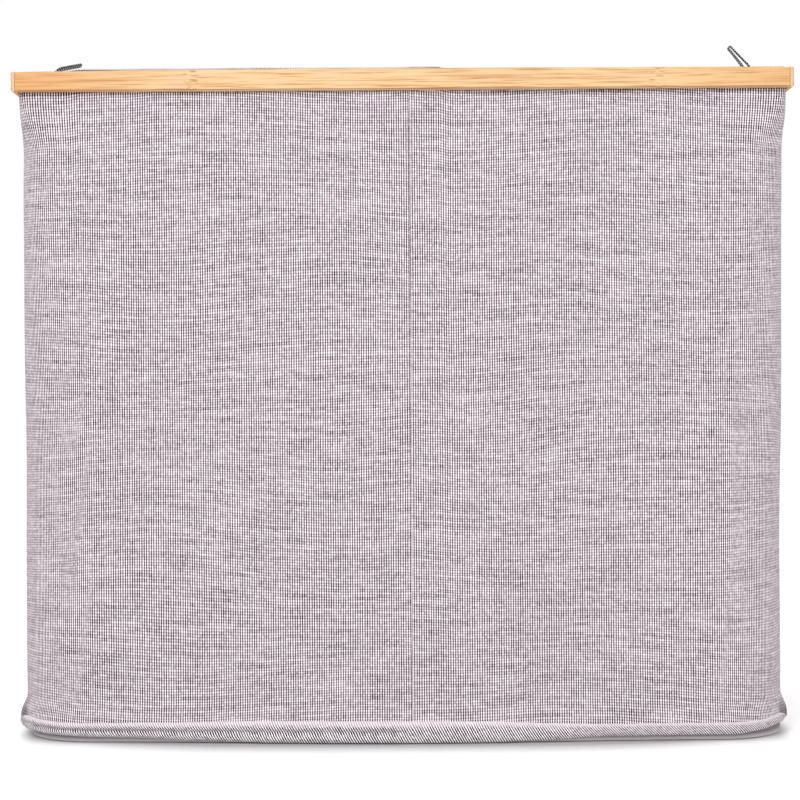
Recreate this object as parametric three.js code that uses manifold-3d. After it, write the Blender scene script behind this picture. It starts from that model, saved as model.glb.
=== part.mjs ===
// Laundry hamper with two bins: a cloth box with stiffener boards, a bamboo rim and two lift-out liners.
// Millimetres. X runs along the long sides, the front faces -Y and Z is up.
// The origin is on the floor, under the middle of the rim.

import * as THREE from "three";
import { mergeVertices } from "three/addons/utils/BufferGeometryUtils.js";
import Module from "manifold-3d";

const wasm = await Module();
wasm.setup();

// Gap between faces that touch, and how far a cut runs past what it cuts
const seat = 0.3;
const overrun = 2;

// Bamboo rim
const rimWidth = 630;
const rimDepth = 330;
const rimTop = 540;
const slatHeight = 16;
const slatThickness = 4.5;
const slatEdgeRadius = 1.6;
const slatEndRadius = 3;
const rabbetDepth = 1;

// Brads in the rim's corners
const pinRadius = 0.8;
const pinLength = 16;
const pinSink = 0.6;

// Staples that hold the cloth hem to the slats
const stapleCrown = 10;
const stapleWireDeep = 0.7;
const stapleWireTall = 1.2;
const stapleBite = 3.2;
const staplePoint = 1.5;
const stapleShares = [0.25, 0.75];

// Cloth wall: skin outside, boards in its straight stretches, lining inside
const skinThickness = 1.2;
const boardThickness = 2;
const liningThickness = 0.8;
const hemProud = 1.5;
const liningDrop = 1;
const boardDrop = 4;
const boardSeamGap = 4;
const rimCornerRadius = 8;
const shoulderCornerRadius = 36;
const bodyCornerRadius = 58;
const cornerEase = 50;
const cornerSettle = 330;
const wallSwell = 0.8;
const longBow = 10;
const shortBow = 3;
const seamShift = 6;
const footFlare = 5.2;
const footFlareHeight = 20;

// Rolled welt round the foot
const weltHeight = 12;
const weltProud = 7.7;
const weltFootProud = 5.5;
const weltShoulderProud = 5.8;
const weltBellyHeight = 5;

// Floor of the shell
const baseClothThickness = 1.2;
const baseBoardThickness = 3;
const baseLiningThickness = 0.8;
const baseBoardSplit = 6;

// Divider between the bins
const dividerDrop = 25;
const dividerBoardThickness = 2;
const dividerClothThickness = 0.8;

// Hook-and-loop tape that holds the liners
const tapeLength = 120;
const tapeHeight = 20;
const tapeDrop = 8;
const loopTapeThickness = 1;
const hookTapeThickness = 1.2;

// Lift-out liners
const linerDrop = 10;
const linerThickness = 1;
const linerBottomThickness = 1.2;
const linerCornerRadius = 52;
const linerDividerClearance = 2.5;
const linerHemHeight = 30;
const linerHemThickness = 0.9;

// Pull loops: a strap doubled over, with its ends sewn down in a patch
const strapWidth = 25;
const strapThickness = 1.6;
const strapLength = 63;
const loopPinch = 10;
const loopOpening = 16;
const loopTipShare = 0.35;
const patchHeight = 28;

// How each loop stands: leans are from upright towards the middle of its bin, in degrees, and slit is how far
// its two layers stand apart. An outer loop leans out over the rim by a share of the way to the lining's edge.
const rightOuterStance = { tipLean: 45, run: 33, bendRadius: 10, slit: 6.4 };
const leftOuterStance = { tipLean: 78, run: 31.5, bendRadius: 7, slit: 3 };
const innerStance = { tipLean: 140, run: 10, bendRadius: 20, slit: 4 };
const rightLeanShare = 0.42;
const leftLeanShare = 0.68;
const innerRootLean = 78;

// Steps along the cloth's long runs, short runs, corners and rows of height
const longSteps = 8;
const shortSteps = 4;
const cornerSteps = 5;
const easeRows = 4;
const bodyRows = 4;
const flareRows = 3;
const loopSteps = 14;
const roundSteps = 4;

// Levels and insets that follow from the sizes above
const rimBottom = rimTop - slatHeight;
const rimMiddle = rimTop - slatHeight / 2;
const wallHalfX = rimWidth / 2 - slatThickness - seat;
const wallHalfY = rimDepth / 2 - slatThickness - seat;
const skinTop = rimTop + hemProud;
const skinBottom = weltHeight + seat;
const baseClothTop = baseClothThickness;
const baseBoardBottom = baseClothTop + seat;
const baseLiningBottom = baseBoardBottom + baseBoardThickness + seat;
const floorTop = baseLiningBottom + baseLiningThickness;
const innerBottom = baseClothTop + seat;
const boardInset = skinThickness + seat;
const liningInset = boardInset + boardThickness + seat;
const liningFace = liningInset + liningThickness;
const loopTapeInset = liningFace + seat;
const hookTapeInset = loopTapeInset + loopTapeThickness + seat;
const linerInset = hookTapeInset + hookTapeThickness + seat;
const linerTop = rimTop - linerDrop;
const linerBottom = floorTop + seat;
const linerHalfY = wallHalfY - linerInset;
const linerHemInset = linerThickness + seat;
const patchInset = linerHemInset + linerHemThickness + seat;
const strapPinch = 2 * strapThickness;
const pullAxisInset = patchInset + strapPinch / 2;
const pullAxisHeight = linerTop + seat + strapThickness;
const dividerHalf = dividerBoardThickness / 2 + seat + dividerClothThickness;
const dividerTop = rimTop - dividerDrop;
const boardEndX = wallHalfX - bodyCornerRadius;
const boardEndY = wallHalfY - bodyCornerRadius;
const tapeTop = linerTop - tapeDrop;
const leanRoom = linerInset + pullAxisInset - liningFace - strapThickness - seat;
const leanRise = skinTop - liningDrop - pullAxisHeight;

// Plain materials of the pieces
const bamboo = { color: 0xe0b27a, roughness: 0.55, metalness: 0 };
const wovenCloth = { color: 0xc1b7be, roughness: 0.95, metalness: 0 };
const liningCloth = { color: 0xd8d4cf, roughness: 0.9, metalness: 0 };
const linerCloth = { color: 0xe6e1d8, roughness: 0.9, metalness: 0 };
const fibreBoard = { color: 0x9c8f7c, roughness: 0.85, metalness: 0 };
const steelWire = { color: 0xb9bcc0, roughness: 0.35, metalness: 1 };
const tapeNylon = { color: 0xdad7d2, roughness: 0.8, metalness: 0 };

const { lerp, smoothstep, degToRad, radToDeg, clamp } = THREE.MathUtils;

// Lean at which an outer loop's root would rest on the lining's upper edge
const restLean = -radToDeg(Math.atan2(leanRoom, leanRise));

// A geometry as a solid that can be cut
function solidOf(geometry) {
  const bare = geometry.clone();
  bare.deleteAttribute("normal");
  bare.deleteAttribute("uv");
  const merged = mergeVertices(bare);
  return new wasm.Manifold(
    new wasm.Mesh({
      numProp: 3,
      vertProperties: new Float32Array(merged.attributes.position.array),
      triVerts: new Uint32Array(merged.index.array),
    }),
  );
}

// A cut solid as a geometry again
function geometryOf(solid) {
  const { vertProperties, triVerts } = solid.getMesh();
  const geometry = new THREE.BufferGeometry();
  geometry.setAttribute("position", new THREE.BufferAttribute(vertProperties, 3));
  geometry.setIndex(new THREE.BufferAttribute(triVerts, 1));
  geometry.computeVertexNormals();
  return geometry;
}

function cut(geometry, tools) {
  return geometryOf(tools.reduce((solid, tool) => solid.subtract(solidOf(tool)), solidOf(geometry)));
}

// Turns the faces of a closed grid outwards, whichever way its points run
function facedOut(positions, faces) {
  const corner = (i) => new THREE.Vector3().fromArray(positions, 3 * i);
  let volume = 0;
  for (const [a, b, c] of faces) volume += corner(a).dot(corner(b).cross(corner(c)));
  const turned = volume < 0 ? faces.map(([a, b, c]) => [a, c, b]) : faces;
  const geometry = new THREE.BufferGeometry();
  geometry.setAttribute("position", new THREE.Float32BufferAttribute(positions, 3));
  geometry.setIndex(turned.flat());
  geometry.computeVertexNormals();
  return geometry;
}

// Sheet of cloth or board: pointAt(column, row, side) gives its outer face at side 0 and its inner face at side 1
function sheet(columns, rows, pointAt) {
  const positions = [];
  const faces = [];
  const at = (column, row, side) => (side * rows + row) * columns + column;
  for (const side of [0, 1]) {
    for (let row = 0; row < rows; row++) {
      for (let column = 0; column < columns; column++) positions.push(...pointAt(column, row, side));
    }
  }
  const quad = (a, b, c, d) => faces.push([a, b, c], [a, c, d]);
  for (let row = 0; row < rows - 1; row++) {
    for (let column = 0; column < columns - 1; column++) {
      const [right, up] = [column + 1, row + 1];
      quad(at(column, row, 0), at(right, row, 0), at(right, up, 0), at(column, up, 0));
      quad(at(column, row, 1), at(column, up, 1), at(right, up, 1), at(right, row, 1));
    }
    const last = columns - 1;
    quad(at(0, row, 0), at(0, row + 1, 0), at(0, row + 1, 1), at(0, row, 1));
    quad(at(last, row, 0), at(last, row, 1), at(last, row + 1, 1), at(last, row + 1, 0));
  }
  for (let column = 0; column < columns - 1; column++) {
    const last = rows - 1;
    quad(at(column, 0, 0), at(column, 0, 1), at(column + 1, 0, 1), at(column + 1, 0, 0));
    quad(at(column, last, 0), at(column + 1, last, 0), at(column + 1, last, 1), at(column, last, 1));
  }
  return facedOut(positions, faces);
}

// Closed ring: pointAt(column, row), with columns round the outline and rows round the section
function ring(columns, rows, pointAt) {
  const positions = [];
  const faces = [];
  const at = (column, row) => (row % rows) * columns + (column % columns);
  for (let row = 0; row < rows; row++) {
    for (let column = 0; column < columns; column++) positions.push(...pointAt(column, row));
  }
  for (let row = 0; row < rows; row++) {
    for (let column = 0; column < columns; column++) {
      const [a, b] = [at(column, row), at(column + 1, row)];
      const [c, d] = [at(column + 1, row + 1), at(column, row + 1)];
      faces.push([a, b, c], [a, c, d]);
    }
  }
  return facedOut(positions, faces);
}

// Plate of a flat outline between two heights
function plate(points, bottom, thickness, holes = []) {
  const shape = new THREE.Shape(points);
  shape.holes = holes.map((hole) => new THREE.Path(hole));
  const geometry = new THREE.ExtrudeGeometry(shape, { depth: thickness, bevelEnabled: false });
  return geometry.translate(0, 0, bottom);
}

function box(low, high) {
  const size = high.clone().sub(low);
  const middle = low.clone().add(high).multiplyScalar(1 / 2);
  return new THREE.BoxGeometry(size.x, size.y, size.z).translate(middle.x, middle.y, middle.z);
}

function mesh(name, geometry, finish) {
  const made = new THREE.Mesh(geometry, new THREE.MeshStandardMaterial(finish));
  made.name = name;
  return made;
}

// The wall's form at a height: its corner radius, its half sizes and how far its runs bow out.
// The corner leaves the rim's square one within a short ease, and grows softer down to the settled radius.
function cornerRadiusAt(z) {
  const below = rimBottom - z;
  const shoulder = lerp(rimCornerRadius, shoulderCornerRadius, smoothstep(below, 0, cornerEase));
  return shoulder + (bodyCornerRadius - shoulderCornerRadius) * smoothstep(below, 0, cornerSettle);
}

function swellAt(z) {
  return wallSwell * smoothstep(rimBottom - z, 0, cornerEase);
}

function bowAt(z) {
  return Math.max(0, rimBottom - z) / rimBottom;
}

// Full in the middle of a run, and fading out with no kink at its ends
function bulge(along, reach) {
  return Math.cos((Math.PI / 2) * clamp(along / reach, -1, 1)) ** 2;
}

// Distance of a long wall from the middle plane, at x
function longWallAt(x, z, inset) {
  const reach = wallHalfX + swellAt(z) - cornerRadiusAt(z);
  return wallHalfY + swellAt(z) - inset + longBow * bowAt(z) * bulge(x, reach);
}

// Distance of a short wall from the middle plane, at y
function shortWallAt(y, z, inset) {
  const reach = wallHalfY + swellAt(z) - cornerRadiusAt(z);
  return wallHalfX + swellAt(z) - inset + shortBow * bowAt(z) * bulge(y, reach);
}

// Half the wall's outline at a height, from the front seam round one end (hand 1 is right) to the rear seam.
// A point on it lies inset inside the wall's outer face, and gap is half the slot left at each seam.
function halfOutline(hand, z, inset, gap = 0) {
  const radius = cornerRadiusAt(z);
  const centreX = wallHalfX + swellAt(z) - radius;
  const centreY = wallHalfY + swellAt(z) - radius;
  const arc = radius - inset;
  const seamX = seamShift + hand * gap;
  const points = [];
  const add = (x, y) => points.push(new THREE.Vector2(x, y));
  for (let i = 0; i <= longSteps; i++) {
    const x = lerp(seamX, hand * centreX, i / longSteps);
    add(x, -longWallAt(x, z, inset));
  }
  for (let i = 1; i < cornerSteps; i++) {
    const turn = ((Math.PI / 2) * i) / cornerSteps;
    add(hand * (centreX + arc * Math.sin(turn)), -centreY - arc * Math.cos(turn));
  }
  for (let i = 0; i <= shortSteps; i++) {
    const y = lerp(-centreY, centreY, i / shortSteps);
    add(hand * shortWallAt(y, z, inset), y);
  }
  for (let i = 1; i < cornerSteps; i++) {
    const turn = ((Math.PI / 2) * i) / cornerSteps;
    add(hand * (centreX + arc * Math.cos(turn)), centreY + arc * Math.sin(turn));
  }
  for (let i = 0; i <= longSteps; i++) {
    const x = lerp(hand * centreX, seamX, i / longSteps);
    add(x, longWallAt(x, z, inset));
  }
  return points;
}

// The whole outline, with each seam point once
function wholeOutline(z, inset) {
  const right = halfOutline(1, z, inset);
  const left = halfOutline(-1, z, inset).reverse();
  return [...right, ...left.slice(1, -1)];
}

// Heights of the wall's rows of points, between a bottom and a top
function wallHeights(bottom, top) {
  const heights = [bottom, top];
  const add = (z) => {
    if (z > bottom + seat && z < top - seat) heights.push(z);
  };
  for (let i = 0; i <= easeRows; i++) add(rimBottom - (cornerEase * i) / easeRows);
  const flareTop = skinBottom + footFlareHeight;
  for (let i = 1; i <= bodyRows; i++) add(lerp(rimBottom - cornerEase, flareTop, i / bodyRows));
  return heights.sort((a, b) => a - b);
}

// Outer cloth of one half: it follows the wall and flares out to the welt in its lowest rows
function skin(hand) {
  const heights = wallHeights(skinBottom, skinTop);
  for (let i = 1; i < flareRows; i++) heights.push(skinBottom + (footFlareHeight * i) / flareRows);
  heights.sort((a, b) => a - b);
  const rows = heights.map((z) => {
    const flare = footFlare * Math.max(0, 1 - (z - skinBottom) / footFlareHeight) ** 2;
    return [0, skinThickness].map((inset) => halfOutline(hand, z, inset - flare, seat / 2));
  });
  return sheet(rows[0][0].length, rows.length, (column, row, side) => {
    const point = rows[row][side][column];
    return [point.x, point.y, heights[row]];
  });
}

function lining(hand) {
  const heights = wallHeights(innerBottom, skinTop - liningDrop);
  const rows = heights.map((z) =>
    [liningInset, liningFace].map((inset) => halfOutline(hand, z, inset, seat / 2)),
  );
  return sheet(rows[0][0].length, rows.length, (column, row, side) => {
    const point = rows[row][side][column];
    return [point.x, point.y, heights[row]];
  });
}

// Stiff board, or a strip of tape, that follows a long wall: face is -1 at the front and 1 at the rear
function longWallSheet(face, fromX, toX, heights, inset, thickness, steps) {
  return sheet(steps + 1, heights.length, (column, row, side) => {
    const x = lerp(fromX, toX, column / steps);
    const z = heights[row];
    return [x, face * longWallAt(x, z, inset + side * thickness), z];
  });
}

function shortWallSheet(hand, heights, inset, thickness) {
  return sheet(shortSteps + 1, heights.length, (column, row, side) => {
    const y = lerp(-boardEndY, boardEndY, column / shortSteps);
    const z = heights[row];
    return [hand * shortWallAt(y, z, inset + side * thickness), y, z];
  });
}

// Bamboo slat: its section has rounded outer edges, and reach is how far its outer face lies from the middle
function slat(outward, length, reach) {
  const section = new THREE.Shape();
  const inner = reach - slatThickness;
  section.moveTo(inner, rimBottom);
  section.lineTo(reach - slatEdgeRadius, rimBottom);
  section.absarc(reach - slatEdgeRadius, rimBottom + slatEdgeRadius, slatEdgeRadius, -Math.PI / 2, 0);
  section.absarc(reach - slatEdgeRadius, rimTop - slatEdgeRadius, slatEdgeRadius, 0, Math.PI / 2);
  section.lineTo(inner, rimTop);
  const geometry = new THREE.ExtrudeGeometry(section, {
    depth: length,
    bevelEnabled: false,
    curveSegments: roundSteps,
  });
  geometry.translate(0, 0, -length / 2);
  const up = new THREE.Vector3(0, 0, 1);
  const along = new THREE.Vector3().crossVectors(outward, up);
  return geometry.applyMatrix4(new THREE.Matrix4().makeBasis(outward, up, along));
}

// The rim's outline in plan, which rounds the outer ends of the side slats
function rimPlan() {
  const points = roundedRectangle(-rimWidth / 2, rimWidth / 2, rimDepth / 2, slatEndRadius);
  return plate(points, rimBottom - overrun, slatHeight + 2 * overrun);
}

// Where a long slat's end sits in the inner face of a side slat
function rabbet(hand, face) {
  const inner = rimWidth / 2 - slatThickness;
  const shoulder = rimDepth / 2 - slatThickness - seat;
  const a = new THREE.Vector3(hand * (inner - overrun), face * shoulder, rimBottom - overrun);
  const b = new THREE.Vector3(hand * (inner + rabbetDepth), face * (rimDepth / 2 + overrun), rimTop + overrun);
  return box(a.clone().min(b), a.clone().max(b));
}

// A brad through the side slat into the end of a long slat, or with a clearance the hole that it sits in
function cornerPin(hand, face, clearance = 0) {
  const radius = pinRadius + clearance;
  const outer = rimWidth / 2 - pinSink + (clearance ? pinSink + overrun : 0);
  const inner = rimWidth / 2 - pinSink - pinLength - clearance;
  const geometry = new THREE.CylinderGeometry(radius, radius, outer - inner, 2 * roundSteps);
  geometry.rotateZ(Math.PI / 2);
  const y = face * (rimDepth / 2 - slatThickness / 2);
  return geometry.translate((hand * (outer + inner)) / 2, y, rimMiddle);
}

// A staple of the hem, set at the lining's face: origin is the middle of its crown, and its legs run outward
function staple(origin, outward) {
  const half = stapleCrown / 2;
  const legs = liningFace + 2 * seat + stapleBite;
  const inside = half - stapleWireDeep;
  const outline = [
    new THREE.Vector2(-half, -stapleWireDeep),
    new THREE.Vector2(half, -stapleWireDeep),
    new THREE.Vector2(half, legs),
    new THREE.Vector2(inside, legs - staplePoint),
    new THREE.Vector2(inside, 0),
    new THREE.Vector2(-inside, 0),
    new THREE.Vector2(-inside, legs - staplePoint),
    new THREE.Vector2(-half, legs),
  ];
  return placedStaple(plate(outline, -stapleWireTall / 2, stapleWireTall), origin, outward);
}

// The two slots that a staple's legs need
function stapleSlots(origin, outward) {
  const half = stapleCrown / 2;
  const legs = liningFace + 2 * seat + stapleBite;
  return [-1, 1].map((hand) => {
    const near = hand * (half - stapleWireDeep - seat);
    const far = hand * (half + seat);
    const low = new THREE.Vector3(Math.min(near, far), seat / 2, -stapleWireTall / 2 - seat);
    const high = new THREE.Vector3(Math.max(near, far), legs + seat, stapleWireTall / 2 + seat);
    return placedStaple(box(low, high), origin, outward);
  });
}

function placedStaple(geometry, origin, outward) {
  const up = new THREE.Vector3(0, 0, 1);
  const along = new THREE.Vector3().crossVectors(outward, up);
  const frame = new THREE.Matrix4().makeBasis(along, outward, up);
  return geometry.applyMatrix4(frame).translate(origin.x, origin.y, origin.z);
}

// Round-cornered rectangle from one x to another, as a list of points
function roundedRectangle(fromX, toX, halfY, radius) {
  const points = [];
  const corners = [
    [toX - radius, -halfY + radius, -1 / 2],
    [toX - radius, halfY - radius, 0],
    [fromX + radius, halfY - radius, 1 / 2],
    [fromX + radius, -halfY + radius, 1],
  ];
  for (const [x, y, start] of corners) {
    for (let i = 0; i <= cornerSteps; i++) {
      const turn = Math.PI * (start + i / cornerSteps / 2);
      points.push(new THREE.Vector2(x + radius * Math.cos(turn), y + radius * Math.sin(turn)));
    }
  }
  return points;
}

// Rolled welt: a ring of D section under the skin's lower edge, flat on the floor
function welt() {
  const skinEdge = -skinThickness;
  const section = [
    [skinEdge, 0],
    [weltFootProud, 0],
    [(weltFootProud + weltProud) / 2, weltBellyHeight / 4],
    [weltProud, weltBellyHeight],
    [weltProud - seat, weltBellyHeight + (weltHeight - weltBellyHeight) / 3],
    [weltShoulderProud, weltHeight - (weltHeight - weltBellyHeight) / 6],
    [footFlare, weltHeight],
    [skinEdge, weltHeight],
  ];
  const outlines = section.map(([proud]) => wholeOutline(0, -proud));
  return ring(outlines[0].length, section.length, (column, row) => {
    const point = outlines[row][column];
    return [point.x, point.y, section[row][1]];
  });
}

// Half of the floor on one side of the divider, inside the lining
function baseBoard(hand) {
  return plate(halfOutline(hand, 0, liningFace + seat, baseBoardSplit / 2), baseBoardBottom, baseBoardThickness);
}

// The divider's outline in the YZ plane: its ends follow the linings, less a margin
function dividerOutline(bottom, top, margin) {
  const heights = wallHeights(bottom, top);
  const end = (z) => longWallAt(seamShift, z, liningFace) - seat - margin;
  const front = heights.map((z) => new THREE.Vector2(-end(z), z));
  const rear = heights.map((z) => new THREE.Vector2(end(z), z)).reverse();
  return [...front, ...rear];
}

// Sheet standing in the YZ plane at the seam, from an outline in y and z
function standingPlate(outline, thickness) {
  const frame = new THREE.Matrix4().makeBasis(
    new THREE.Vector3(0, 1, 0),
    new THREE.Vector3(0, 0, 1),
    new THREE.Vector3(1, 0, 0),
  );
  return plate(outline, -thickness / 2, thickness).applyMatrix4(frame).translate(seamShift, 0, 0);
}

function dividerBoard() {
  const outline = dividerOutline(linerBottom, dividerTop - dividerClothThickness - seat, dividerClothThickness + seat);
  return standingPlate(outline, dividerBoardThickness);
}

// Cloth sleeve of the divider, open below where the board goes in
function dividerCover() {
  const outside = standingPlate(dividerOutline(linerBottom, dividerTop, 0), 2 * dividerHalf);
  const pocketTop = dividerTop - dividerClothThickness;
  const pocket = dividerOutline(linerBottom - overrun, pocketTop, dividerClothThickness);
  return cut(outside, [standingPlate(pocket, dividerBoardThickness + 2 * seat)]);
}

// Where a liner's cloth runs along X: its wall beside the divider and its wall at the hamper's end
function linerSpan(hand) {
  const inner = seamShift + hand * (dividerHalf + linerDividerClearance);
  const outer = hand * (wallHalfX - linerInset);
  return [Math.min(inner, outer), Math.max(inner, outer)];
}

// A ring of a liner's outline, from one inset to another
function linerBand(hand, bottom, top, inset, thickness) {
  const [fromX, toX] = linerSpan(hand);
  const outline = (by) =>
    roundedRectangle(fromX + by, toX - by, linerHalfY - by, linerCornerRadius - by);
  return plate(outline(inset), bottom, top - bottom, [outline(inset + thickness)]);
}

function linerBottomPanel(hand) {
  const [fromX, toX] = linerSpan(hand);
  const by = linerThickness + seat;
  const outline = roundedRectangle(fromX + by, toX - by, linerHalfY - by, linerCornerRadius - by);
  return plate(outline, linerBottom, linerBottomThickness);
}

function hookTape(hand, face) {
  const middle = middleOf(linerSpan(hand));
  const near = face * (linerHalfY + seat);
  const far = face * (linerHalfY + seat + hookTapeThickness);
  return box(
    new THREE.Vector3(middle - tapeLength / 2, Math.min(near, far), tapeTop - tapeHeight),
    new THREE.Vector3(middle + tapeLength / 2, Math.max(near, far), tapeTop),
  );
}

function middleOf([from, to]) {
  return (from + to) / 2;
}

// A pull sits at one end of its liner: wallX is the liner's outer face there, and inward points into the bin
function pullPlace(hand, isOuter) {
  const [fromX, toX] = linerSpan(hand);
  const atHigh = (hand > 0) === isOuter;
  return { wallX: atHigh ? toX : fromX, inward: atHigh ? -1 : 1 };
}

function pullPatch(hand, isOuter) {
  const { wallX, inward } = pullPlace(hand, isOuter);
  const near = wallX + inward * patchInset;
  const far = near + inward * strapPinch;
  return box(
    new THREE.Vector3(Math.min(near, far), -strapWidth / 2, linerTop - patchHeight),
    new THREE.Vector3(Math.max(near, far), strapWidth / 2, linerTop),
  );
}

// The strap's middle line from its root: straight, then bent, then straight. x points inward and y up.
function strapCourse({ rootLean, tipLean, run, bendRadius }) {
  const root = degToRad(rootLean);
  const tip = degToRad(tipLean);
  const bendEnd = run + bendRadius * (tip - root);
  return (distance) => {
    const lean = lerp(root, tip, clamp((distance - run) / (bendEnd - run), 0, 1));
    const before = Math.min(distance, run);
    const after = Math.max(0, distance - bendEnd);
    const x = before * Math.sin(root) + bendRadius * (Math.cos(root) - Math.cos(lean)) + after * Math.sin(lean);
    const y = before * Math.cos(root) + bendRadius * (Math.sin(lean) - Math.sin(root)) + after * Math.cos(lean);
    return { point: new THREE.Vector2(x, y), side: new THREE.Vector2(Math.cos(lean), -Math.sin(lean)) };
  };
}

// Closed outline at a distance either side of a course, round at both ends
function stripOutline(course, from, to, halfAt) {
  const flank = (hand) => {
    const points = [];
    for (let i = 0; i <= loopSteps; i++) {
      const distance = lerp(from, to, i / loopSteps);
      const { point, side } = course(distance);
      points.push(point.clone().addScaledVector(side, hand * halfAt(distance)));
    }
    return points;
  };
  const cap = (distance, turnFrom) => {
    const { point, side } = course(distance);
    const points = [];
    for (let i = 1; i < roundSteps; i++) {
      const turn = turnFrom + (Math.PI * i) / roundSteps;
      points.push(side.clone().rotateAround(new THREE.Vector2(), turn).multiplyScalar(halfAt(distance)).add(point));
    }
    return points;
  };
  return [...flank(1), ...cap(to, 0), ...flank(-1).reverse(), ...cap(from, Math.PI)];
}

// Doubled strap: its layers are sewn together at its root, stand apart further up and close in to the folded tip.
// Its root is round about the fold line, where it bends.
function pullLoop(hand, isOuter, rootLean, stance) {
  const { wallX, inward } = pullPlace(hand, isOuter);
  const course = strapCourse({ ...stance, rootLean });
  const tipEnd = strapLength - strapThickness - (stance.slit / 2) * loopTipShare;
  const slitHalf = (distance) => {
    const open = smoothstep(distance, loopPinch, loopPinch + loopOpening);
    return (stance.slit / 2) * open * lerp(1, loopTipShare, smoothstep(distance, strapLength / 2, tipEnd));
  };
  const outside = stripOutline(course, 0, tipEnd, (distance) => strapThickness + slitHalf(distance));
  const slit = stripOutline(course, loopPinch + loopOpening / 4, tipEnd, slitHalf);
  const frame = new THREE.Matrix4().makeBasis(
    new THREE.Vector3(inward, 0, 0),
    new THREE.Vector3(0, 0, 1),
    new THREE.Vector3(0, -inward, 0),
  );
  const geometry = plate(outside, -strapWidth / 2, strapWidth, [slit]).applyMatrix4(frame);
  return geometry.translate(wallX + inward * pullAxisInset, 0, pullAxisHeight);
}

// Where each staple sits: a share along each board, at the middle of the slat
function staplePlaces() {
  const places = [];
  const faces = { front: -1, rear: 1 };
  const hands = { left: -1, right: 1 };
  for (const [faceName, face] of Object.entries(faces)) {
    for (const [handName, hand] of Object.entries(hands)) {
      stapleShares.forEach((share, i) => {
        const x = lerp(seamShift, hand * boardEndX, share);
        places.push({
          name: `rim_staple_${faceName}_${handName}_${i + 1}`,
          wall: `${faceName}_${handName}`,
          slat: faceName,
          half: handName,
          origin: new THREE.Vector3(x, face * longWallAt(x, rimMiddle, liningFace + seat), rimMiddle),
          outward: new THREE.Vector3(0, face, 0),
        });
      });
    }
  }
  for (const [handName, hand] of Object.entries(hands)) {
    places.push({
      name: `rim_staple_${handName}`,
      wall: `side_${handName}`,
      slat: handName,
      half: handName,
      origin: new THREE.Vector3(hand * shortWallAt(0, rimMiddle, liningFace + seat), 0, rimMiddle),
      outward: new THREE.Vector3(hand, 0, 0),
    });
  }
  return places;
}

const places = staplePlaces();
const slotsWhere = (key, value) =>
  places.filter((place) => place[key] === value).flatMap((place) => stapleSlots(place.origin, place.outward));
const hands = { left: -1, right: 1 };
const faces = { front: -1, rear: 1 };

// Bamboo rim with rabbeted and pinned corners
function rim() {
  const group = new THREE.Group();
  const longLength = rimWidth - 2 * (slatThickness - rabbetDepth + seat);
  for (const [faceName, face] of Object.entries(faces)) {
    const bar = slat(new THREE.Vector3(0, face, 0), longLength, rimDepth / 2);
    const pinHoles = [-1, 1].map((hand) => cornerPin(hand, face, seat));
    const cuts = [...pinHoles, ...slotsWhere("slat", faceName)];
    group.add(mesh(`rim_${faceName}_slat`, cut(bar, cuts), bamboo));
  }
  for (const [handName, hand] of Object.entries(hands)) {
    const bar = slat(new THREE.Vector3(hand, 0, 0), rimDepth, rimWidth / 2);
    const rounded = geometryOf(solidOf(bar).intersect(solidOf(rimPlan())));
    const ends = [-1, 1].flatMap((face) => [rabbet(hand, face), cornerPin(hand, face, seat)]);
    group.add(mesh(`rim_${handName}_slat`, cut(rounded, [...ends, ...slotsWhere("slat", handName)]), bamboo));
    for (const [faceName, face] of Object.entries(faces)) {
      group.add(mesh(`corner_pin_${faceName}_${handName}`, cornerPin(hand, face), steelWire));
    }
  }
  for (const place of places) group.add(mesh(place.name, staple(place.origin, place.outward), steelWire));
  return group;
}

// Cloth walls with their boards
function walls() {
  const group = new THREE.Group();
  const heights = wallHeights(innerBottom, rimTop - boardDrop);
  for (const [handName, hand] of Object.entries(hands)) {
    const slots = slotsWhere("half", handName);
    group.add(mesh(`skin_${handName}`, cut(skin(hand), slots), wovenCloth));
    group.add(mesh(`lining_${handName}`, cut(lining(hand), slots), liningCloth));
    for (const [faceName, face] of Object.entries(faces)) {
      const from = seamShift + hand * boardSeamGap;
      const board = longWallSheet(face, from, hand * boardEndX, heights, boardInset, boardThickness, longSteps);
      const name = `${faceName}_${handName}`;
      group.add(mesh(`board_${name}`, cut(board, slotsWhere("wall", name)), fibreBoard));
      const middle = middleOf(linerSpan(hand));
      const tapeHeights = [tapeTop - tapeHeight, tapeTop];
      const [tapeFrom, tapeTo] = [middle - tapeLength / 2, middle + tapeLength / 2];
      const tape = longWallSheet(face, tapeFrom, tapeTo, tapeHeights, loopTapeInset, loopTapeThickness, shortSteps);
      group.add(mesh(`loop_tape_${name}`, tape, tapeNylon));
    }
    const side = shortWallSheet(hand, heights, boardInset, boardThickness);
    group.add(mesh(`board_side_${handName}`, cut(side, slotsWhere("wall", `side_${handName}`)), fibreBoard));
  }
  return group;
}

// Welt, floor layers and divider
function base() {
  const group = new THREE.Group();
  group.add(mesh("base_welt", welt(), wovenCloth));
  group.add(mesh("base_cloth", plate(wholeOutline(0, boardInset), 0, baseClothThickness), wovenCloth));
  for (const [handName, hand] of Object.entries(hands)) {
    group.add(mesh(`base_board_${handName}`, baseBoard(hand), fibreBoard));
  }
  const floor = plate(wholeOutline(0, liningFace + seat), baseLiningBottom, baseLiningThickness);
  group.add(mesh("base_lining", floor, liningCloth));
  group.add(mesh("divider_board", dividerBoard(), fibreBoard));
  group.add(mesh("divider_cover", dividerCover(), liningCloth));
  return group;
}

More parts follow.
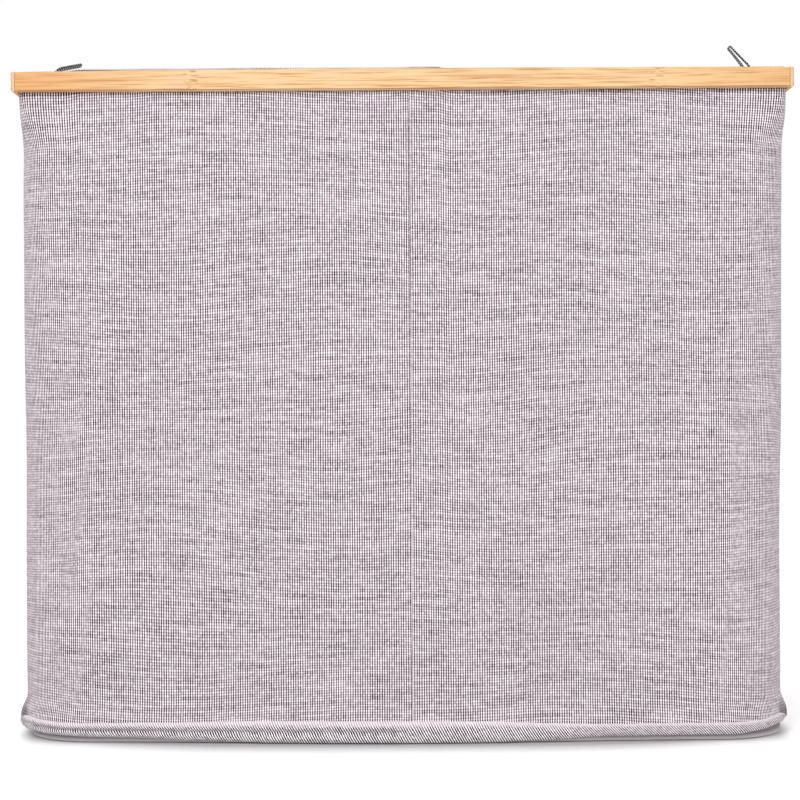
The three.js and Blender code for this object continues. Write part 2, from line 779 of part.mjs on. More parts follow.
// One lift-out liner with its tapes and pulls
function liner(handName, outerLean, outerStance) {
  const hand = hands[handName];
  const group = new THREE.Group();
  const add = (name, geometry, finish) => group.add(mesh(`${handName}_${name}`, geometry, finish));
  add("liner_bag", linerBand(hand, linerBottom, linerTop, 0, linerThickness), linerCloth);
  add("liner_bottom", linerBottomPanel(hand), linerCloth);
  add("liner_hem", linerBand(hand, linerTop - linerHemHeight, linerTop, linerHemInset, linerHemThickness), linerCloth);
  for (const [faceName, face] of Object.entries(faces)) add(`hook_tape_${faceName}`, hookTape(hand, face), tapeNylon);
  add("outer_pull_patch", pullPatch(hand, true), wovenCloth);
  add("inner_pull_patch", pullPatch(hand, false), wovenCloth);
  add("outer_pull", pullLoop(hand, true, outerLean, outerStance), wovenCloth);
  add("inner_pull", pullLoop(hand, false, innerRootLean, innerStance), wovenCloth);
  return group;
}

const hamper = new THREE.Group();
hamper.add(rim(), walls(), base());
hamper.add(liner("left", leftLeanShare * restLean, leftOuterStance));
hamper.add(liner("right", rightLeanShare * restLean, rightOuterStance));

export default hamper;
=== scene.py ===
"""Laundry hamper with two bins, dressed: woven cloth shell, bamboo rim and two lift-out liners."""

import bisect
import math

import bmesh
import bpy
from mathutils import Matrix, Vector, noise


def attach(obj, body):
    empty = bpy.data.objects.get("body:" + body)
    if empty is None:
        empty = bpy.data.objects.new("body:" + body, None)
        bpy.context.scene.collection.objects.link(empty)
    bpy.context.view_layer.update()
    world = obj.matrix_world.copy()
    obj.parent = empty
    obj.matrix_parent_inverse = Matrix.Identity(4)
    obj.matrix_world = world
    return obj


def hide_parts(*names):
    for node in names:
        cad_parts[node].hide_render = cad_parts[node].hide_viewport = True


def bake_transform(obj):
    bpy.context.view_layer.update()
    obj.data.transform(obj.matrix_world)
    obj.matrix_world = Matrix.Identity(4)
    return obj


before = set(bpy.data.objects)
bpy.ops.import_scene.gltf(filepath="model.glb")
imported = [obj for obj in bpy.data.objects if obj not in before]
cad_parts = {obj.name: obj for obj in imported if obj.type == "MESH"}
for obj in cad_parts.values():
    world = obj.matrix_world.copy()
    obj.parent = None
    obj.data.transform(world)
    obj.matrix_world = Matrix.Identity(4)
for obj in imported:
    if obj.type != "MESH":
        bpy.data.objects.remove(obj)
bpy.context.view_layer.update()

MM = 0.001
MERGE_DISTANCE = 0.001 * MM
UV_NAME = "Weave"

# Sizes shared with the solids
SEAT = 0.3 * MM
RIM_WIDTH = 630 * MM
RIM_DEPTH = 330 * MM
RIM_TOP = 540 * MM
SLAT_HEIGHT = 16 * MM
SLAT_THICKNESS = 4.5 * MM
SKIN_THICKNESS = 1.2 * MM
BOARD_THICKNESS = 2 * MM
LINING_THICKNESS = 0.8 * MM
RIM_CORNER_RADIUS = 8 * MM
SHOULDER_CORNER_RADIUS = 36 * MM
BODY_CORNER_RADIUS = 58 * MM
CORNER_EASE = 50 * MM
CORNER_SETTLE = 330 * MM
WALL_SWELL = 0.8 * MM
LONG_BOW = 10 * MM
SHORT_BOW = 3 * MM
SEAM_SHIFT = 6 * MM
WELT_HEIGHT = 12 * MM
DIVIDER_HALF = 2.1 * MM
DIVIDER_TOP = 515 * MM
TAPE_LENGTH = 120 * MM
TAPE_HEIGHT = 20 * MM
LOOP_TAPE_THICKNESS = 1 * MM
HOOK_TAPE_THICKNESS = 1.2 * MM
LINER_TOP = 530 * MM
LINER_BOTTOM = 5.9 * MM
LINER_THICKNESS = 1 * MM
LINER_CORNER_RADIUS = 52 * MM
LINER_CLEARANCE = 2.5 * MM
LINER_HEM_HEIGHT = 30 * MM
LINER_HEM_THICKNESS = 0.9 * MM
STRAP_WIDTH = 25 * MM
STRAP_THICKNESS = 1.6 * MM
STRAP_LENGTH = 63 * MM
STRAP_SEWN = 28 * MM
LOOP_PINCH = 10 * MM
LOOP_OPENING = 16 * MM
LOOP_TIP_SHARE = 0.35

RIM_BOTTOM = RIM_TOP - SLAT_HEIGHT
WALL_HALF_X = RIM_WIDTH / 2 - SLAT_THICKNESS - SEAT
WALL_HALF_Y = RIM_DEPTH / 2 - SLAT_THICKNESS - SEAT
SKIN_BOTTOM = WELT_HEIGHT + SEAT
LINING_INSET = SKIN_THICKNESS + BOARD_THICKNESS + 2 * SEAT
LINING_FACE = LINING_INSET + LINING_THICKNESS
LOOP_TAPE_INSET = LINING_FACE + SEAT
LINER_INSET = LOOP_TAPE_INSET + LOOP_TAPE_THICKNESS + HOOK_TAPE_THICKNESS + 2 * SEAT
LINER_HALF_Y = WALL_HALF_Y - LINER_INSET
TAPE_TOP = LINER_TOP - 8 * MM
BOARD_END_X = WALL_HALF_X - BODY_CORNER_RADIUS
BOARD_END_Y = WALL_HALF_Y - BODY_CORNER_RADIUS
PULL_INSET = LINER_THICKNESS + LINER_HEM_THICKNESS + 2 * SEAT + STRAP_THICKNESS
PULL_HEIGHT = LINER_TOP + SEAT + STRAP_THICKNESS

# Allowances of the cloth's flat cuts
SEAM_ALLOWANCE = 20 * MM
SKIN_HEIGHT = 529 * MM
SKIN_TURN = 25 * MM
LINING_BOTTOM = 1.6 * MM
LINING_TOP = 540.3 * MM

HANDS = {"left": -1, "right": 1}
FACES = {"front": -1, "rear": 1}


def lerp(a, b, share):
    return a + (b - a) * share


def smooth(value, low, high):
    share = min(1, max(0, (value - low) / (high - low)))
    return share * share * (3 - 2 * share)


def bell(distance, reach):
    return math.exp(-((distance / reach) ** 2))


def wave(x, y, seed):
    """Soft uneven waves from -1 to 1, one long in x and in y."""
    return max(-1, min(1, 1.6 * noise.noise(Vector((x, y, 17.3 * seed)))))


# The wall's form, as the solids have it


def corner_radius(z):
    below = RIM_BOTTOM - z
    shoulder = lerp(RIM_CORNER_RADIUS, SHOULDER_CORNER_RADIUS, smooth(below, 0, CORNER_EASE))
    return shoulder + (BODY_CORNER_RADIUS - SHOULDER_CORNER_RADIUS) * smooth(below, 0, CORNER_SETTLE)


def swell(z):
    return WALL_SWELL * smooth(RIM_BOTTOM - z, 0, CORNER_EASE)


def bow(z):
    return max(0, RIM_BOTTOM - z) / RIM_BOTTOM


def bulge(along, reach):
    return math.cos(math.pi / 2 * max(-1, min(1, along / reach))) ** 2


def long_wall(x, z, inset):
    reach = WALL_HALF_X + swell(z) - corner_radius(z)
    return WALL_HALF_Y + swell(z) - inset + LONG_BOW * bow(z) * bulge(x, reach)


def short_wall(y, z, inset):
    reach = WALL_HALF_Y + swell(z) - corner_radius(z)
    return WALL_HALF_X + swell(z) - inset + SHORT_BOW * bow(z) * bulge(y, reach)


# Length of cloth that goes round a corner
ARC = 103 * MM
SIDE = 2 * BOARD_END_Y


def run(hand):
    """Length of a half's front run, from the seam to where its corner starts."""
    return BOARD_END_X - hand * SEAM_SHIFT


def half_round(hand):
    """Length round one half of the shell, from the front seam to the rear seam."""
    return 2 * (run(hand) + ARC) + SIDE


def wall_at(hand, along, z, inset=0.0):
    """A point on the wall and its outward direction, at a distance round from the front seam."""
    face = -1
    if along > half_round(hand) / 2:
        face = 1
        along = half_round(hand) - along

    def on_long(x):
        return Vector((x, face * long_wall(x, z, inset), z)), Vector((0, face, 0))

    def on_short(y):
        return Vector((hand * short_wall(y, z, inset), -face * y, z)), Vector((hand, 0, 0))

    if along <= run(hand):
        return on_long(SEAM_SHIFT + hand * along)
    radius = corner_radius(z)
    centre_x = WALL_HALF_X + swell(z) - radius
    centre_y = WALL_HALF_Y + swell(z) - radius
    first = centre_x - BOARD_END_X
    arc = math.pi / 2 * radius
    last = centre_y - BOARD_END_Y
    if along >= run(hand) + ARC:
        return on_short(-BOARD_END_Y + along - run(hand) - ARC)
    way = (along - run(hand)) / ARC * (first + arc + last)
    if way < first:
        return on_long(hand * (BOARD_END_X + way))
    if way > first + arc:
        return on_short(-centre_y + way - first - arc)
    turn = (way - first) / radius
    outward = Vector((hand * math.sin(turn), face * math.cos(turn), 0))
    centre = Vector((hand * centre_x, face * centre_y, z))
    return centre + outward * (radius - inset), outward


WHOLE_ROUND = half_round(1) + half_round(-1)


def round_foot(along, out, z):
    """A point some millimetres out from the foot's outline, at a distance round it from the front seam."""
    along %= WHOLE_ROUND
    hand = 1 if along <= half_round(1) else -1
    point, outward = wall_at(hand, along if hand > 0 else WHOLE_ROUND - along, 0)
    point += outward * out * MM
    point.z = z
    return point


def end_share(hand, along):
    """0 along the front and the rear, 1 along the end of the shell, and eased round its corners."""
    way = min(along, half_round(hand) - along)
    return smooth(way, run(hand) + 0.1 * ARC, run(hand) + 0.75 * ARC)


def rounded_path(from_x, to_x, half_y, radius):
    """A rounded rectangle's length, and a function from a distance along it, from the middle of its front, to
    a point and its outward direction. A second number gives how far inside the outline the point lies."""
    width, depth = to_x - from_x - 2 * radius, 2 * half_y - 2 * radius
    arc = math.pi / 2 * radius
    centre_x = (from_x + to_x) / 2
    corners = [(1, -1), (1, 1), (-1, 1), (-1, -1)]
    total = 2 * (width + depth) + 4 * arc

    def at(distance, inset=0.0):
        left = distance % total
        if left < width / 2:
            return Vector((centre_x + left, inset - half_y, 0)), Vector((0, -1, 0))
        left -= width / 2
        for i, (sign_x, sign_y) in enumerate(corners):
            heading = math.pi / 2 * i
            centre = Vector((centre_x + sign_x * width / 2, sign_y * depth / 2, 0))
            if left < arc:
                turn = heading - math.pi / 2 + left / radius
                outward = Vector((math.cos(turn), math.sin(turn), 0))
                return centre + outward * (radius - inset), outward
            left -= arc
            outward = Vector((math.cos(heading), math.sin(heading), 0))
            forward = Vector((-outward.y, outward.x, 0))
            length = (depth, width, depth, width / 2)[i]
            if left < length or i == 3:
                return centre + outward * (radius - inset) + forward * left, outward
            left -= length

    return total, at


# Cutting and sewing


def spread(length, peaks, count=2000):
    """A function from an even share to a place along a length, with places closer together near each peak
    (where, reach, how many times closer)."""
    density = [
        1 + sum(times * bell((i + 0.5) / count * length - where, reach) for where, reach, times in peaks)
        for i in range(count)
    ]
    total, sums = sum(density), [0.0]
    for value in density:
        sums.append(sums[-1] + value / total)

    def place(share):
        high = bisect.bisect_right(sums, share, 1, count)
        low = high - 1
        part = (share - sums[low]) / (sums[high] - sums[low])
        return length * (low + min(1, part)) / count

    return place


def flat_cut(width, height, columns, rows, across=None, up=None):
    """A flat cut of cloth with its corner at the origin. Its UV map is in metres of cloth."""
    cut = bmesh.new()
    bmesh.ops.create_grid(cut, x_segments=columns, y_segments=rows, size=0.5)
    bmesh.ops.translate(cut, verts=cut.verts, vec=(0.5, 0.5, 0))
    across = across or (lambda share: share * width)
    up = up or (lambda share: share * height)
    for point in cut.verts:
        point.co = (across(point.co.x), up(point.co.y), 0)
    cut.loops.layers.uv.new(UV_NAME)
    lay_flat(cut)
    return cut


def lay_flat(cut, turned=False):
    """Gives each corner of a cut its place in X and Y as its UV. If turned, its weave runs the other way."""
    layer = cut.loops.layers.uv[UV_NAME]
    for face in cut.faces:
        for loop in face.loops:
            x, y, _ = loop.vert.co
            loop[layer].uv = (-0.3 - x if turned else x, y)


def bend(cut, place, closed=False):
    """Takes each point of a flat cut to its place on the hamper. Edges that meet are joined if it is closed."""
    for point in cut.verts:
        point.co = place(point.co.x, point.co.y)
    if closed:
        bmesh.ops.remove_doubles(cut, verts=cut.verts, dist=0.02 * MM)


def solid_copy(node_name):
    """A solid's mesh, with its triangles joined into flats."""
    shape = bmesh.new()
    shape.from_mesh(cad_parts[node_name].data)
    bmesh.ops.remove_doubles(shape, verts=shape.verts, dist=MERGE_DISTANCE)
    bmesh.ops.dissolve_limit(shape, angle_limit=math.radians(1), verts=shape.verts, edges=shape.edges)
    return shape


def slice_at(shape, place, normal):
    """Cuts the faces of a shape along a plane."""
    geometry = shape.verts[:] + shape.edges[:] + shape.faces[:]
    bmesh.ops.bisect_plane(shape, geom=geometry, dist=MERGE_DISTANCE, plane_co=place, plane_no=normal)


def slice_evenly(shape, axis, half, count):
    """Cuts the faces of a shape along planes across an axis, into even slices from -half to half."""
    normal = Vector((1, 0, 0)) if axis == 0 else Vector((0, 1, 0))
    for i in range(1, count):
        slice_at(shape, normal * lerp(-half, half, i / count), normal)


def bead(row, matrix):
    """Adds one stitch of thread, which is a ball of a few faces drawn out."""
    bmesh.ops.create_icosphere(row, subdivisions=1, radius=1, matrix=matrix)


def piece(name, cut, finish, body=None, stands_for=(), thickness=0.0, turned=False):
    """Makes an object of a cut. It rides on a body and stands for CAD nodes, and a thickness grows inwards."""
    if turned:
        bmesh.ops.reverse_faces(cut, faces=cut.faces)
    for face in cut.faces:
        face.smooth = True
    mesh = bpy.data.meshes.new(name)
    cut.to_mesh(mesh)
    cut.free()
    mesh.materials.append(finish)
    made = bpy.data.objects.new(name, mesh)
    bpy.context.scene.collection.objects.link(made)
    if thickness:
        layer = made.modifiers.new("thickness", "SOLIDIFY")
        layer.thickness = thickness
        layer.offset = -1
        layer.use_even_offset = True
    if body:
        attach(made, body)
    if stands_for:
        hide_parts(*stands_for)
    return made


def stitches(name, course, finish, body, radius=0.35 * MM):
    """A row of thread stitches along courses of points, each lying in the surface."""
    length, gap = 2.6 * MM, 1.2 * MM
    row = bmesh.new()
    for points in course:
        walked = 0.0
        for start, end in zip(points, points[1:]):
            step = end - start
            if step.length < 1e-7:
                continue
            while walked + length <= step.length:
                middle = start + step.normalized() * (walked + length / 2)
                turned = step.to_track_quat("X", "Z").to_matrix().to_4x4()
                sized = Matrix.Diagonal((length / 2, radius, radius, 1))
                bead(row, Matrix.Translation(middle) @ turned @ sized)
                walked += length + gap
            walked = max(0.0, walked - step.length)
    piece(name, row, finish, body)


# Finishes


def srgb(red, green, blue):
    """A colour as a screen shows it, from 0 to 255, as the renderer takes it."""
    linear = (((c / 255 + 0.055) / 1.055) ** 2.4 if c > 10 else c / 255 / 12.92 for c in (red, green, blue))
    return (*linear, 1.0)


def arithmetic(operation, reflected=False):
    """A method of Wire that adds the Math node of an operator."""

    def method(self, other):
        return self.sum(operation, *((other, self) if reflected else (self, other)))

    return method


class Wire:
    """An output socket of a finish's nodes, which adds Math nodes when it is used in sums."""

    def __init__(self, tree, socket=None):
        self.tree = tree
        self.socket = socket

    def node(self, kind, settings=None, feeds=None, out=0):
        """Adds a node. Its settings are set first, and then feeds gives its inputs wires or values."""
        made = self.tree.nodes.new(kind)
        for name, value in (settings or {}).items():
            setattr(made, name, value)
        for key, value in (feeds or {}).items():
            if isinstance(value, Wire):
                self.tree.links.new(value.socket, made.inputs[key])
            else:
                made.inputs[key].default_value = value
        return Wire(self.tree, made.outputs[out]) if len(made.outputs) else None

    def sum(self, operation, *values):
        """Adds a Math node."""
        return self.node("ShaderNodeMath", {"operation": operation}, dict(enumerate(values)))

    def output(self, index):
        return Wire(self.tree, self.socket.node.outputs[index])

    __add__, __radd__ = arithmetic("ADD"), arithmetic("ADD", True)
    __sub__, __rsub__ = arithmetic("SUBTRACT"), arithmetic("SUBTRACT", True)
    __mul__ = arithmetic("MULTIPLY")
    __truediv__ = arithmetic("DIVIDE")

    def __abs__(self):
        return self.sum("ABSOLUTE", self)

    def at_least(self, other):
        return self.sum("MAXIMUM", self, other)

    def floor(self):
        return self.sum("FLOOR", self)

    def fract(self):
        return self.sum("FRACT", self)

    def ease(self, low, high):
        """0 below low, 1 above high, and smooth between. Low may be the larger."""
        feeds = {0: self, 1: low, 2: high, 3: 0.0, 4: 1.0}
        if not isinstance(low, Wire) and not isinstance(high, Wire) and low > high:
            feeds = {0: self, 1: high, 2: low, 3: 1.0, 4: 0.0}
        return self.node("ShaderNodeMapRange", {"interpolation_type": "SMOOTHSTEP"}, feeds)

    def noise(self, x, y, z=0.0, detail=0.0):
        """Uneven waves from about 0 to 1."""
        vector = self.node("ShaderNodeCombineXYZ", {}, {0: x, 1: y, 2: z})
        feeds = {"Vector": vector, "Scale": 1.0, "Detail": detail}
        return self.node("ShaderNodeTexNoise", {"noise_dimensions": "3D"}, feeds)

    def mix(self, share, first, second):
        """From the first colour to the second."""
        return self.node("ShaderNodeMix", {"data_type": "RGBA"}, {0: share, 6: first, 7: second}, out=2)


def finish(name):
    """A new finish and a wire to start its nodes from."""
    made = bpy.data.materials.new(name)
    made.use_nodes = True
    made.node_tree.nodes.clear()
    return made, Wire(made.node_tree)


def surface(start, colour, roughness, height=None, depth=0.0, strength=1.0, **constants):
    """Closes a finish's nodes with its shader. Height is from 0 to 1 over the depth in metres."""
    feeds = {"Base Color": colour, "Roughness": roughness}
    if height is not None:
        bump = {"Strength": strength, "Distance": depth, "Height": height}
        feeds["Normal"] = start.node("ShaderNodeBump", {}, bump)
    feeds.update({key.replace("_", " "): value for key, value in constants.items()})
    shader = start.node("ShaderNodeBsdfPrincipled", {}, feeds)
    start.node("ShaderNodeOutputMaterial", {}, {"Surface": shader})


def cloth_coordinates(start):
    """Places across and up a flat cut of cloth, in metres."""
    place = start.node("ShaderNodeUVMap", {"uv_map": UV_NAME})
    across = start.node("ShaderNodeSeparateXYZ", {}, {0: place})
    return across, across.output(1)


def object_coordinates(start):
    """Places along X, Y and Z, in metres."""
    place = start.node("ShaderNodeTexCoord", out=3)
    x = start.node("ShaderNodeSeparateXYZ", {}, {0: place})
    return x, x.output(1), x.output(2)


WARP_PITCH = 1.93 * MM
WEFT_PITCH = 2.14 * MM
LIGHT_YARN_AND_PAINTED_LIGHT = srgb(255, 246, 252)
GREY_YARN = srgb(188, 168, 179)
DARK_YARN_AND_SHADE = srgb(68, 57, 64)
BLACK_YARN = srgb(30, 14, 24)


def ribbed_weave(name, slant=0.0, pitch=WARP_PITCH, picks=1.0, gaps=0.485, painted_light=None, painted_shade=None):
    """Coarse cloth of light ribs with dark yarn between them, crossed by picks. Slant leans the ribs and gaps is the
    dark share. Two optional bands of the cloth's height add painted light, which makes it lighter, and painted
    shade, which makes it darker; with the band of painted shade, painted shade also darkens the cloth over the
    foot's corners."""
    made, start = finish(name)
    u, v = cloth_coordinates(start)
    sag = start.noise(u * 5, v * 6) - 0.5
    wander = start.noise(u * 24, v * 7, 3.1) - 0.5
    ripple = start.noise(u * 40, v * 30, 6.4) - 0.5
    warp = (u + v * slant + wander * 0.0010) / pitch
    weft = (v + sag * 0.024 + ripple * 0.0012) / WEFT_PITCH
    column, row = warp.floor(), weft.floor()
    rib = 1 - abs(warp.fract() * 2 - 1)
    pick = (1 - abs(weft.fract() * 2 - 1)).ease(0.15, 0.85)
    streaks = start.noise(u * 32, row * 0.83, 9.2) - 0.5
    beads = start.noise(column * 0.77, row * 0.83, 1.7) - 0.5
    slow = start.noise(column * 0.9, v * 45, 5.5) - 0.5
    edge = gaps + beads * 0.5 + slow * 0.12 - (pick - 0.5) * (0.06 * picks)
    # Painted shade: the dark yarn takes a larger share over the band of painted shade
    if painted_shade:
        edge += v.ease(*painted_shade) * 0.22
    light = rib.ease(edge - 0.12, edge + 0.12)
    gap = start.mix(pick * picks * (0.42 + streaks * 1.3), BLACK_YARN, GREY_YARN)
    top = start.mix((1 - pick) * picks * (0.40 - streaks * 1.3), LIGHT_YARN_AND_PAINTED_LIGHT, GREY_YARN)
    colour = start.mix(light, gap, top)
    # Painted light: the cloth grows lighter over its band
    if painted_light:
        colour = start.mix(v.ease(*painted_light) * 0.6, colour, LIGHT_YARN_AND_PAINTED_LIGHT)
    # Painted shade over the foot's corners, just above the welt
    if painted_shade:
        x, y, z = object_coordinates(start)
        painted_corner_shade = abs(x + 2.1 * MM).ease(306 * MM, 310 * MM) * abs(y).ease(98 * MM, 118 * MM) * z.ease(32 * MM, 16 * MM)
        colour = start.mix(painted_corner_shade * 0.65, colour, DARK_YARN_AND_SHADE)
    height = rib * 0.8 + beads * 0.25 + pick * 0.15
    surface(start, colour, 0.92, height, 0.5 * MM, 0.3, Sheen_Weight=0.05, Specular_IOR_Level=0.15)
    return made


def plain_weave(name, colour, shadow, pitch, painted_shade=None):
    """Fine cloth, over and under, with uneven threads, and painted shade that makes it darker over a band of its
    height.
    """
    made, start = finish(name)
    u, v = cloth_coordinates(start)
    warp, weft = u / pitch, v / pitch
    column, row = warp.floor(), weft.floor()
    over = ((column + row) / 2).fract() * 2
    across = 1 - abs(warp.fract() * 2 - 1)
    along = 1 - abs(weft.fract() * 2 - 1)
    thread = across * over + along * (1 - over)
    uneven = start.noise(u * 25, row * 3.1, 2.0) * 0.5 + start.noise(column * 3.1, v * 25, 6.0) * 0.5
    broad = start.noise(u * 9, v * 9, 4.0, detail=2.0)
    share = thread * 0.45 + uneven * 0.55 + broad * 0.25
    tone = start.mix(share.ease(0.25, 0.85), shadow, colour)
    # Painted shade: darker over the band
    if painted_shade:
        tone = start.mix(v.ease(*painted_shade) * 0.8, tone, DARK_YARN_AND_SHADE)
    surface(start, tone, 0.93, thread, 0.25 * MM, 0.3, Sheen_Weight=0.1, Specular_IOR_Level=0.2)
    return made


def twill_tape(name):
    """Webbing of the loops: a slanted twill in the shell's two yarns, darker along one edge with painted shade."""
    made, start = finish(name)
    u, v = cloth_coordinates(start)
    line = (u + v * 0.9 + (start.noise(u * 90, v * 90) - 0.5) * 0.0006) / (1.9 * MM)
    column = line.floor()
    rib = 1 - abs(line.fract() * 2 - 1)
    speck = start.noise(column * 3.7, v * 700, 2.2) - 0.5
    light = rib.ease(0.52 + speck * 0.3, 0.80 + speck * 0.3)
    tone = start.mix(light, BLACK_YARN, LIGHT_YARN_AND_PAINTED_LIGHT)
    # Painted shade: darker along one edge
    tone = start.mix(v.ease(1.6 * MM, 0.4 * MM) * 0.3, tone, BLACK_YARN)
    surface(start, tone, 0.9, rib, 0.4 * MM, 0.4, Sheen_Weight=0.1, Specular_IOR_Level=0.2)
    return made


def bamboo(name, axis, joints):
    """Bamboo slat along an axis (0 is X, 1 is Y), with the marks of its joints at some places, and painted shade
    along its lower edge.
    """
    made, start = finish(name)
    x, y, up = object_coordinates(start)
    along, across, half = (x, y, RIM_WIDTH / 2) if axis == 0 else (y, x, RIM_DEPTH / 2)
    fibres = start.noise(along * 26, across * 900, up * 1100, detail=3.0)
    bundles = start.noise(along * 7, across * 260, up * 330, detail=1.0)
    dashes = start.noise(along * 150, across * 700, up * 900, detail=1.0)
    near = sum(abs(along - joint).ease(11 * MM, 3 * MM) for joint in joints)
    streak = start.mix(near * 0.8, fibres, dashes)
    streak = start.node("ShaderNodeSeparateColor", {}, {0: streak})
    light, middle, dark = srgb(244, 206, 156), srgb(236, 192, 139), srgb(204, 148, 90)
    tone = start.mix(streak.ease(0.40, 0.60), light, middle)
    # Painted shade: darker along the lower edge, short of the ends, where the slat overhangs the cloth
    edge = up.ease(RIM_BOTTOM + 1.5 * MM, RIM_BOTTOM + 0.9 * MM) * up.ease(RIM_BOTTOM, RIM_BOTTOM + 0.5 * MM)
    edge = edge * abs(along).ease(half - MM, half - 8 * MM)
    for share, shade in (
        (along.ease(-half * 0.5, -half) * 0.75, srgb(230, 164, 98)),
        (along.ease(half * 0.5, half) * 0.6, srgb(232, 176, 114)),
        (bundles.ease(0.52, 0.72) * 0.6, dark),
        (fibres.ease(0.54, 0.66) * 0.85, dark),
        (near * streak.ease(0.52, 0.62) * 0.7, srgb(180, 124, 70)),
        (edge * (0.35 + fibres * 0.5), srgb(140, 92, 50)),
    ):
        tone = start.mix(share, tone, shade)
    if axis == 1:
        dots = start.noise(across * 1900, up * 1900, 4.0)
        grain = start.mix(dots.ease(0.4, 0.62), srgb(240, 206, 170), srgb(222, 178, 136))
        tone = start.mix(abs(along).ease(half - 1.2 * MM, half - 0.5 * MM), tone, grain)
    relief = fibres * 0.7 + near * 0.3
    surface(start, tone, 0.42 + fibres * 0.2, relief, 0.18 * MM, 0.4, Coat_Weight=0.05, Coat_Roughness=0.3)
    return made


def pressed_board(name):
    made, start = finish(name)
    x, y, z = object_coordinates(start)
    flecks = start.noise(x * 420, y * 420, z * 900, detail=3.0)
    clouds = start.noise(x * 30, y * 30, z * 30)
    tone = start.mix(flecks.ease(0.35, 0.7), srgb(166, 151, 130), srgb(128, 113, 94))
    tone = start.mix(clouds * 0.3, tone, srgb(186, 172, 150))
    surface(start, tone, 0.85, flecks, 0.1 * MM, 0.4)
    return made


def steel(name):
    made, start = finish(name)
    x, y, z = object_coordinates(start)
    scratches = start.noise(x * 2500, y * 2500, z * 600, detail=2.0)
    tone = start.mix(scratches, srgb(172, 174, 178), srgb(205, 207, 210))
    surface(start, tone, 0.28 + scratches * 0.2, scratches, 0.03 * MM, 0.3, Metallic=1.0)
    return made


def pile_tape(name, hooked):
    """Nylon tape: rows of small hooks, or a low pile of loops, between two flat edges."""
    made, start = finish(name)
    u, v = cloth_coordinates(start)
    if hooked:
        rows = abs((u / (1.1 * MM)).fract() * 2 - 1)
        lines = abs((v / (1.0 * MM)).fract() * 2 - 1)
        height = rows.ease(0.3, 0.8) * lines.ease(0.3, 0.8)
    else:
        height = start.noise(u * 1600, v * 1600, 1.0, detail=2.0)
    band = v.ease(1.2 * MM, 1.8 * MM) * v.ease(TAPE_HEIGHT - 1.2 * MM, TAPE_HEIGHT - 1.8 * MM)
    height = height * band
    tone = start.mix(height, srgb(198, 194, 188), srgb(228, 225, 219))
    surface(start, tone, 0.75, height, 0.5 * MM, 0.6, Sheen_Weight=0.2)
    return made


def thread(name, colour, shadow):
    """Sewing thread, with the twist of its plies."""
    made, start = finish(name)
    x, y, z = object_coordinates(start)
    turn = (x + y + z) / (0.5 * MM)
    ply = abs(turn.fract() * 2 - 1)
    surface(start, start.mix(ply, shadow, colour), 0.8, ply, 0.1 * MM, 0.5, Sheen_Weight=0.2)
    return made


# The shell's cloth has painted shade in a band just under the rim, and over the foot's corners
SHELL_CLOTH = ribbed_weave("shell_cloth", painted_shade=(507 * MM, 511 * MM))
# The welt's cloth has painted light on the top of its roll
WELT_CLOTH = ribbed_weave("welt_cloth", slant=0.42, pitch=2.1 * MM, picks=0.25, gaps=0.5, painted_light=(15 * MM, 21 * MM))
# The edging's cloth has painted shade that deepens up towards the roll
EDGING_CLOTH = plain_weave("edging_cloth", srgb(244, 237, 241), srgb(222, 214, 219), 0.9 * MM, (-MM, 4.5 * MM))
HEM_YARN = thread("hem_yarn", LIGHT_YARN_AND_PAINTED_LIGHT, DARK_YARN_AND_SHADE)
LINING_CLOTH = plain_weave("lining_cloth", srgb(222, 217, 210), srgb(186, 180, 172), 0.9 * MM)
LINER_CLOTH = plain_weave("liner_cloth", srgb(238, 233, 224), srgb(208, 202, 191), 0.8 * MM)
LINER_THREAD = thread("liner_thread", srgb(240, 236, 228), srgb(196, 190, 180))
STRAP_CLOTH = twill_tape("strap_cloth")
LONG_BAMBOO = bamboo("long_bamboo", 0, (204 * MM, -170 * MM))
SHORT_BAMBOO = bamboo("short_bamboo", 1, (-62 * MM, 118 * MM))
BOARD = pressed_board("pressed_board")
STEEL = steel("steel_wire")
HOOK_TAPE = pile_tape("hook_tape", True)
LOOP_TAPE = pile_tape("loop_tape", False)

# Solids that are shown as they are, by how their names start
BARE_SOLIDS = [(("board_", "base_board", "divider_board"), BOARD), (("corner_pin", "rim_staple"), STEEL)]
for name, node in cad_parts.items():
    for kinds, finish_of in BARE_SOLIDS:
        if name.startswith(kinds):
            node.data.materials.clear()
            node.data.materials.append(finish_of)


# Bamboo rim


def slat(name, axis, finish_of):
    """A slat cut from its solid: its flats are joined, its middle is a little fuller and its edges are eased."""
    bar = solid_copy(name)
    half = (RIM_WIDTH if axis == 0 else RIM_DEPTH) / 2
    slice_evenly(bar, axis, half, 40 if axis == 0 else 20)
    if axis == 1:
        slice_at(bar, Vector((0, 0, RIM_BOTTOM + 3 * MM)), Vector((0, 0, 1)))
        for point in bar.verts:
            if point.co.z < RIM_BOTTOM + MM and abs(point.co.x) > RIM_WIDTH / 2 - MM:
                point.co.x -= math.copysign(2.4 * MM, point.co.x)
    for point in bar.verts:
        along = point.co[axis]
        full = 1 - (along / half) ** 2 if axis == 0 else 0.0
        uneven = wave(along / 0.11, 0, 4 + axis)
        if point.co.z > RIM_TOP - SLAT_HEIGHT / 2:
            point.co.z += (1.1 * full + 0.15 * uneven) * MM
        else:
            point.co.z -= (0.25 * full + 0.12 * uneven) * MM
    made = piece(name + "_bamboo", bar, finish_of, "shell", [name])
    edges = made.modifiers.new("eased_edges", "BEVEL")
    edges.width, edges.segments = 0.3 * MM, 2
    edges.limit_method, edges.angle_limit = "ANGLE", math.radians(35)
    weights = made.modifiers.new("flat_faces", "WEIGHTED_NORMAL")
    weights.keep_sharp = True


for face_name in FACES:
    slat(f"rim_{face_name}_slat", 0, LONG_BAMBOO)
for side in HANDS:
    slat(f"rim_{side}_slat", 1, SHORT_BAMBOO)


# Outer cloth

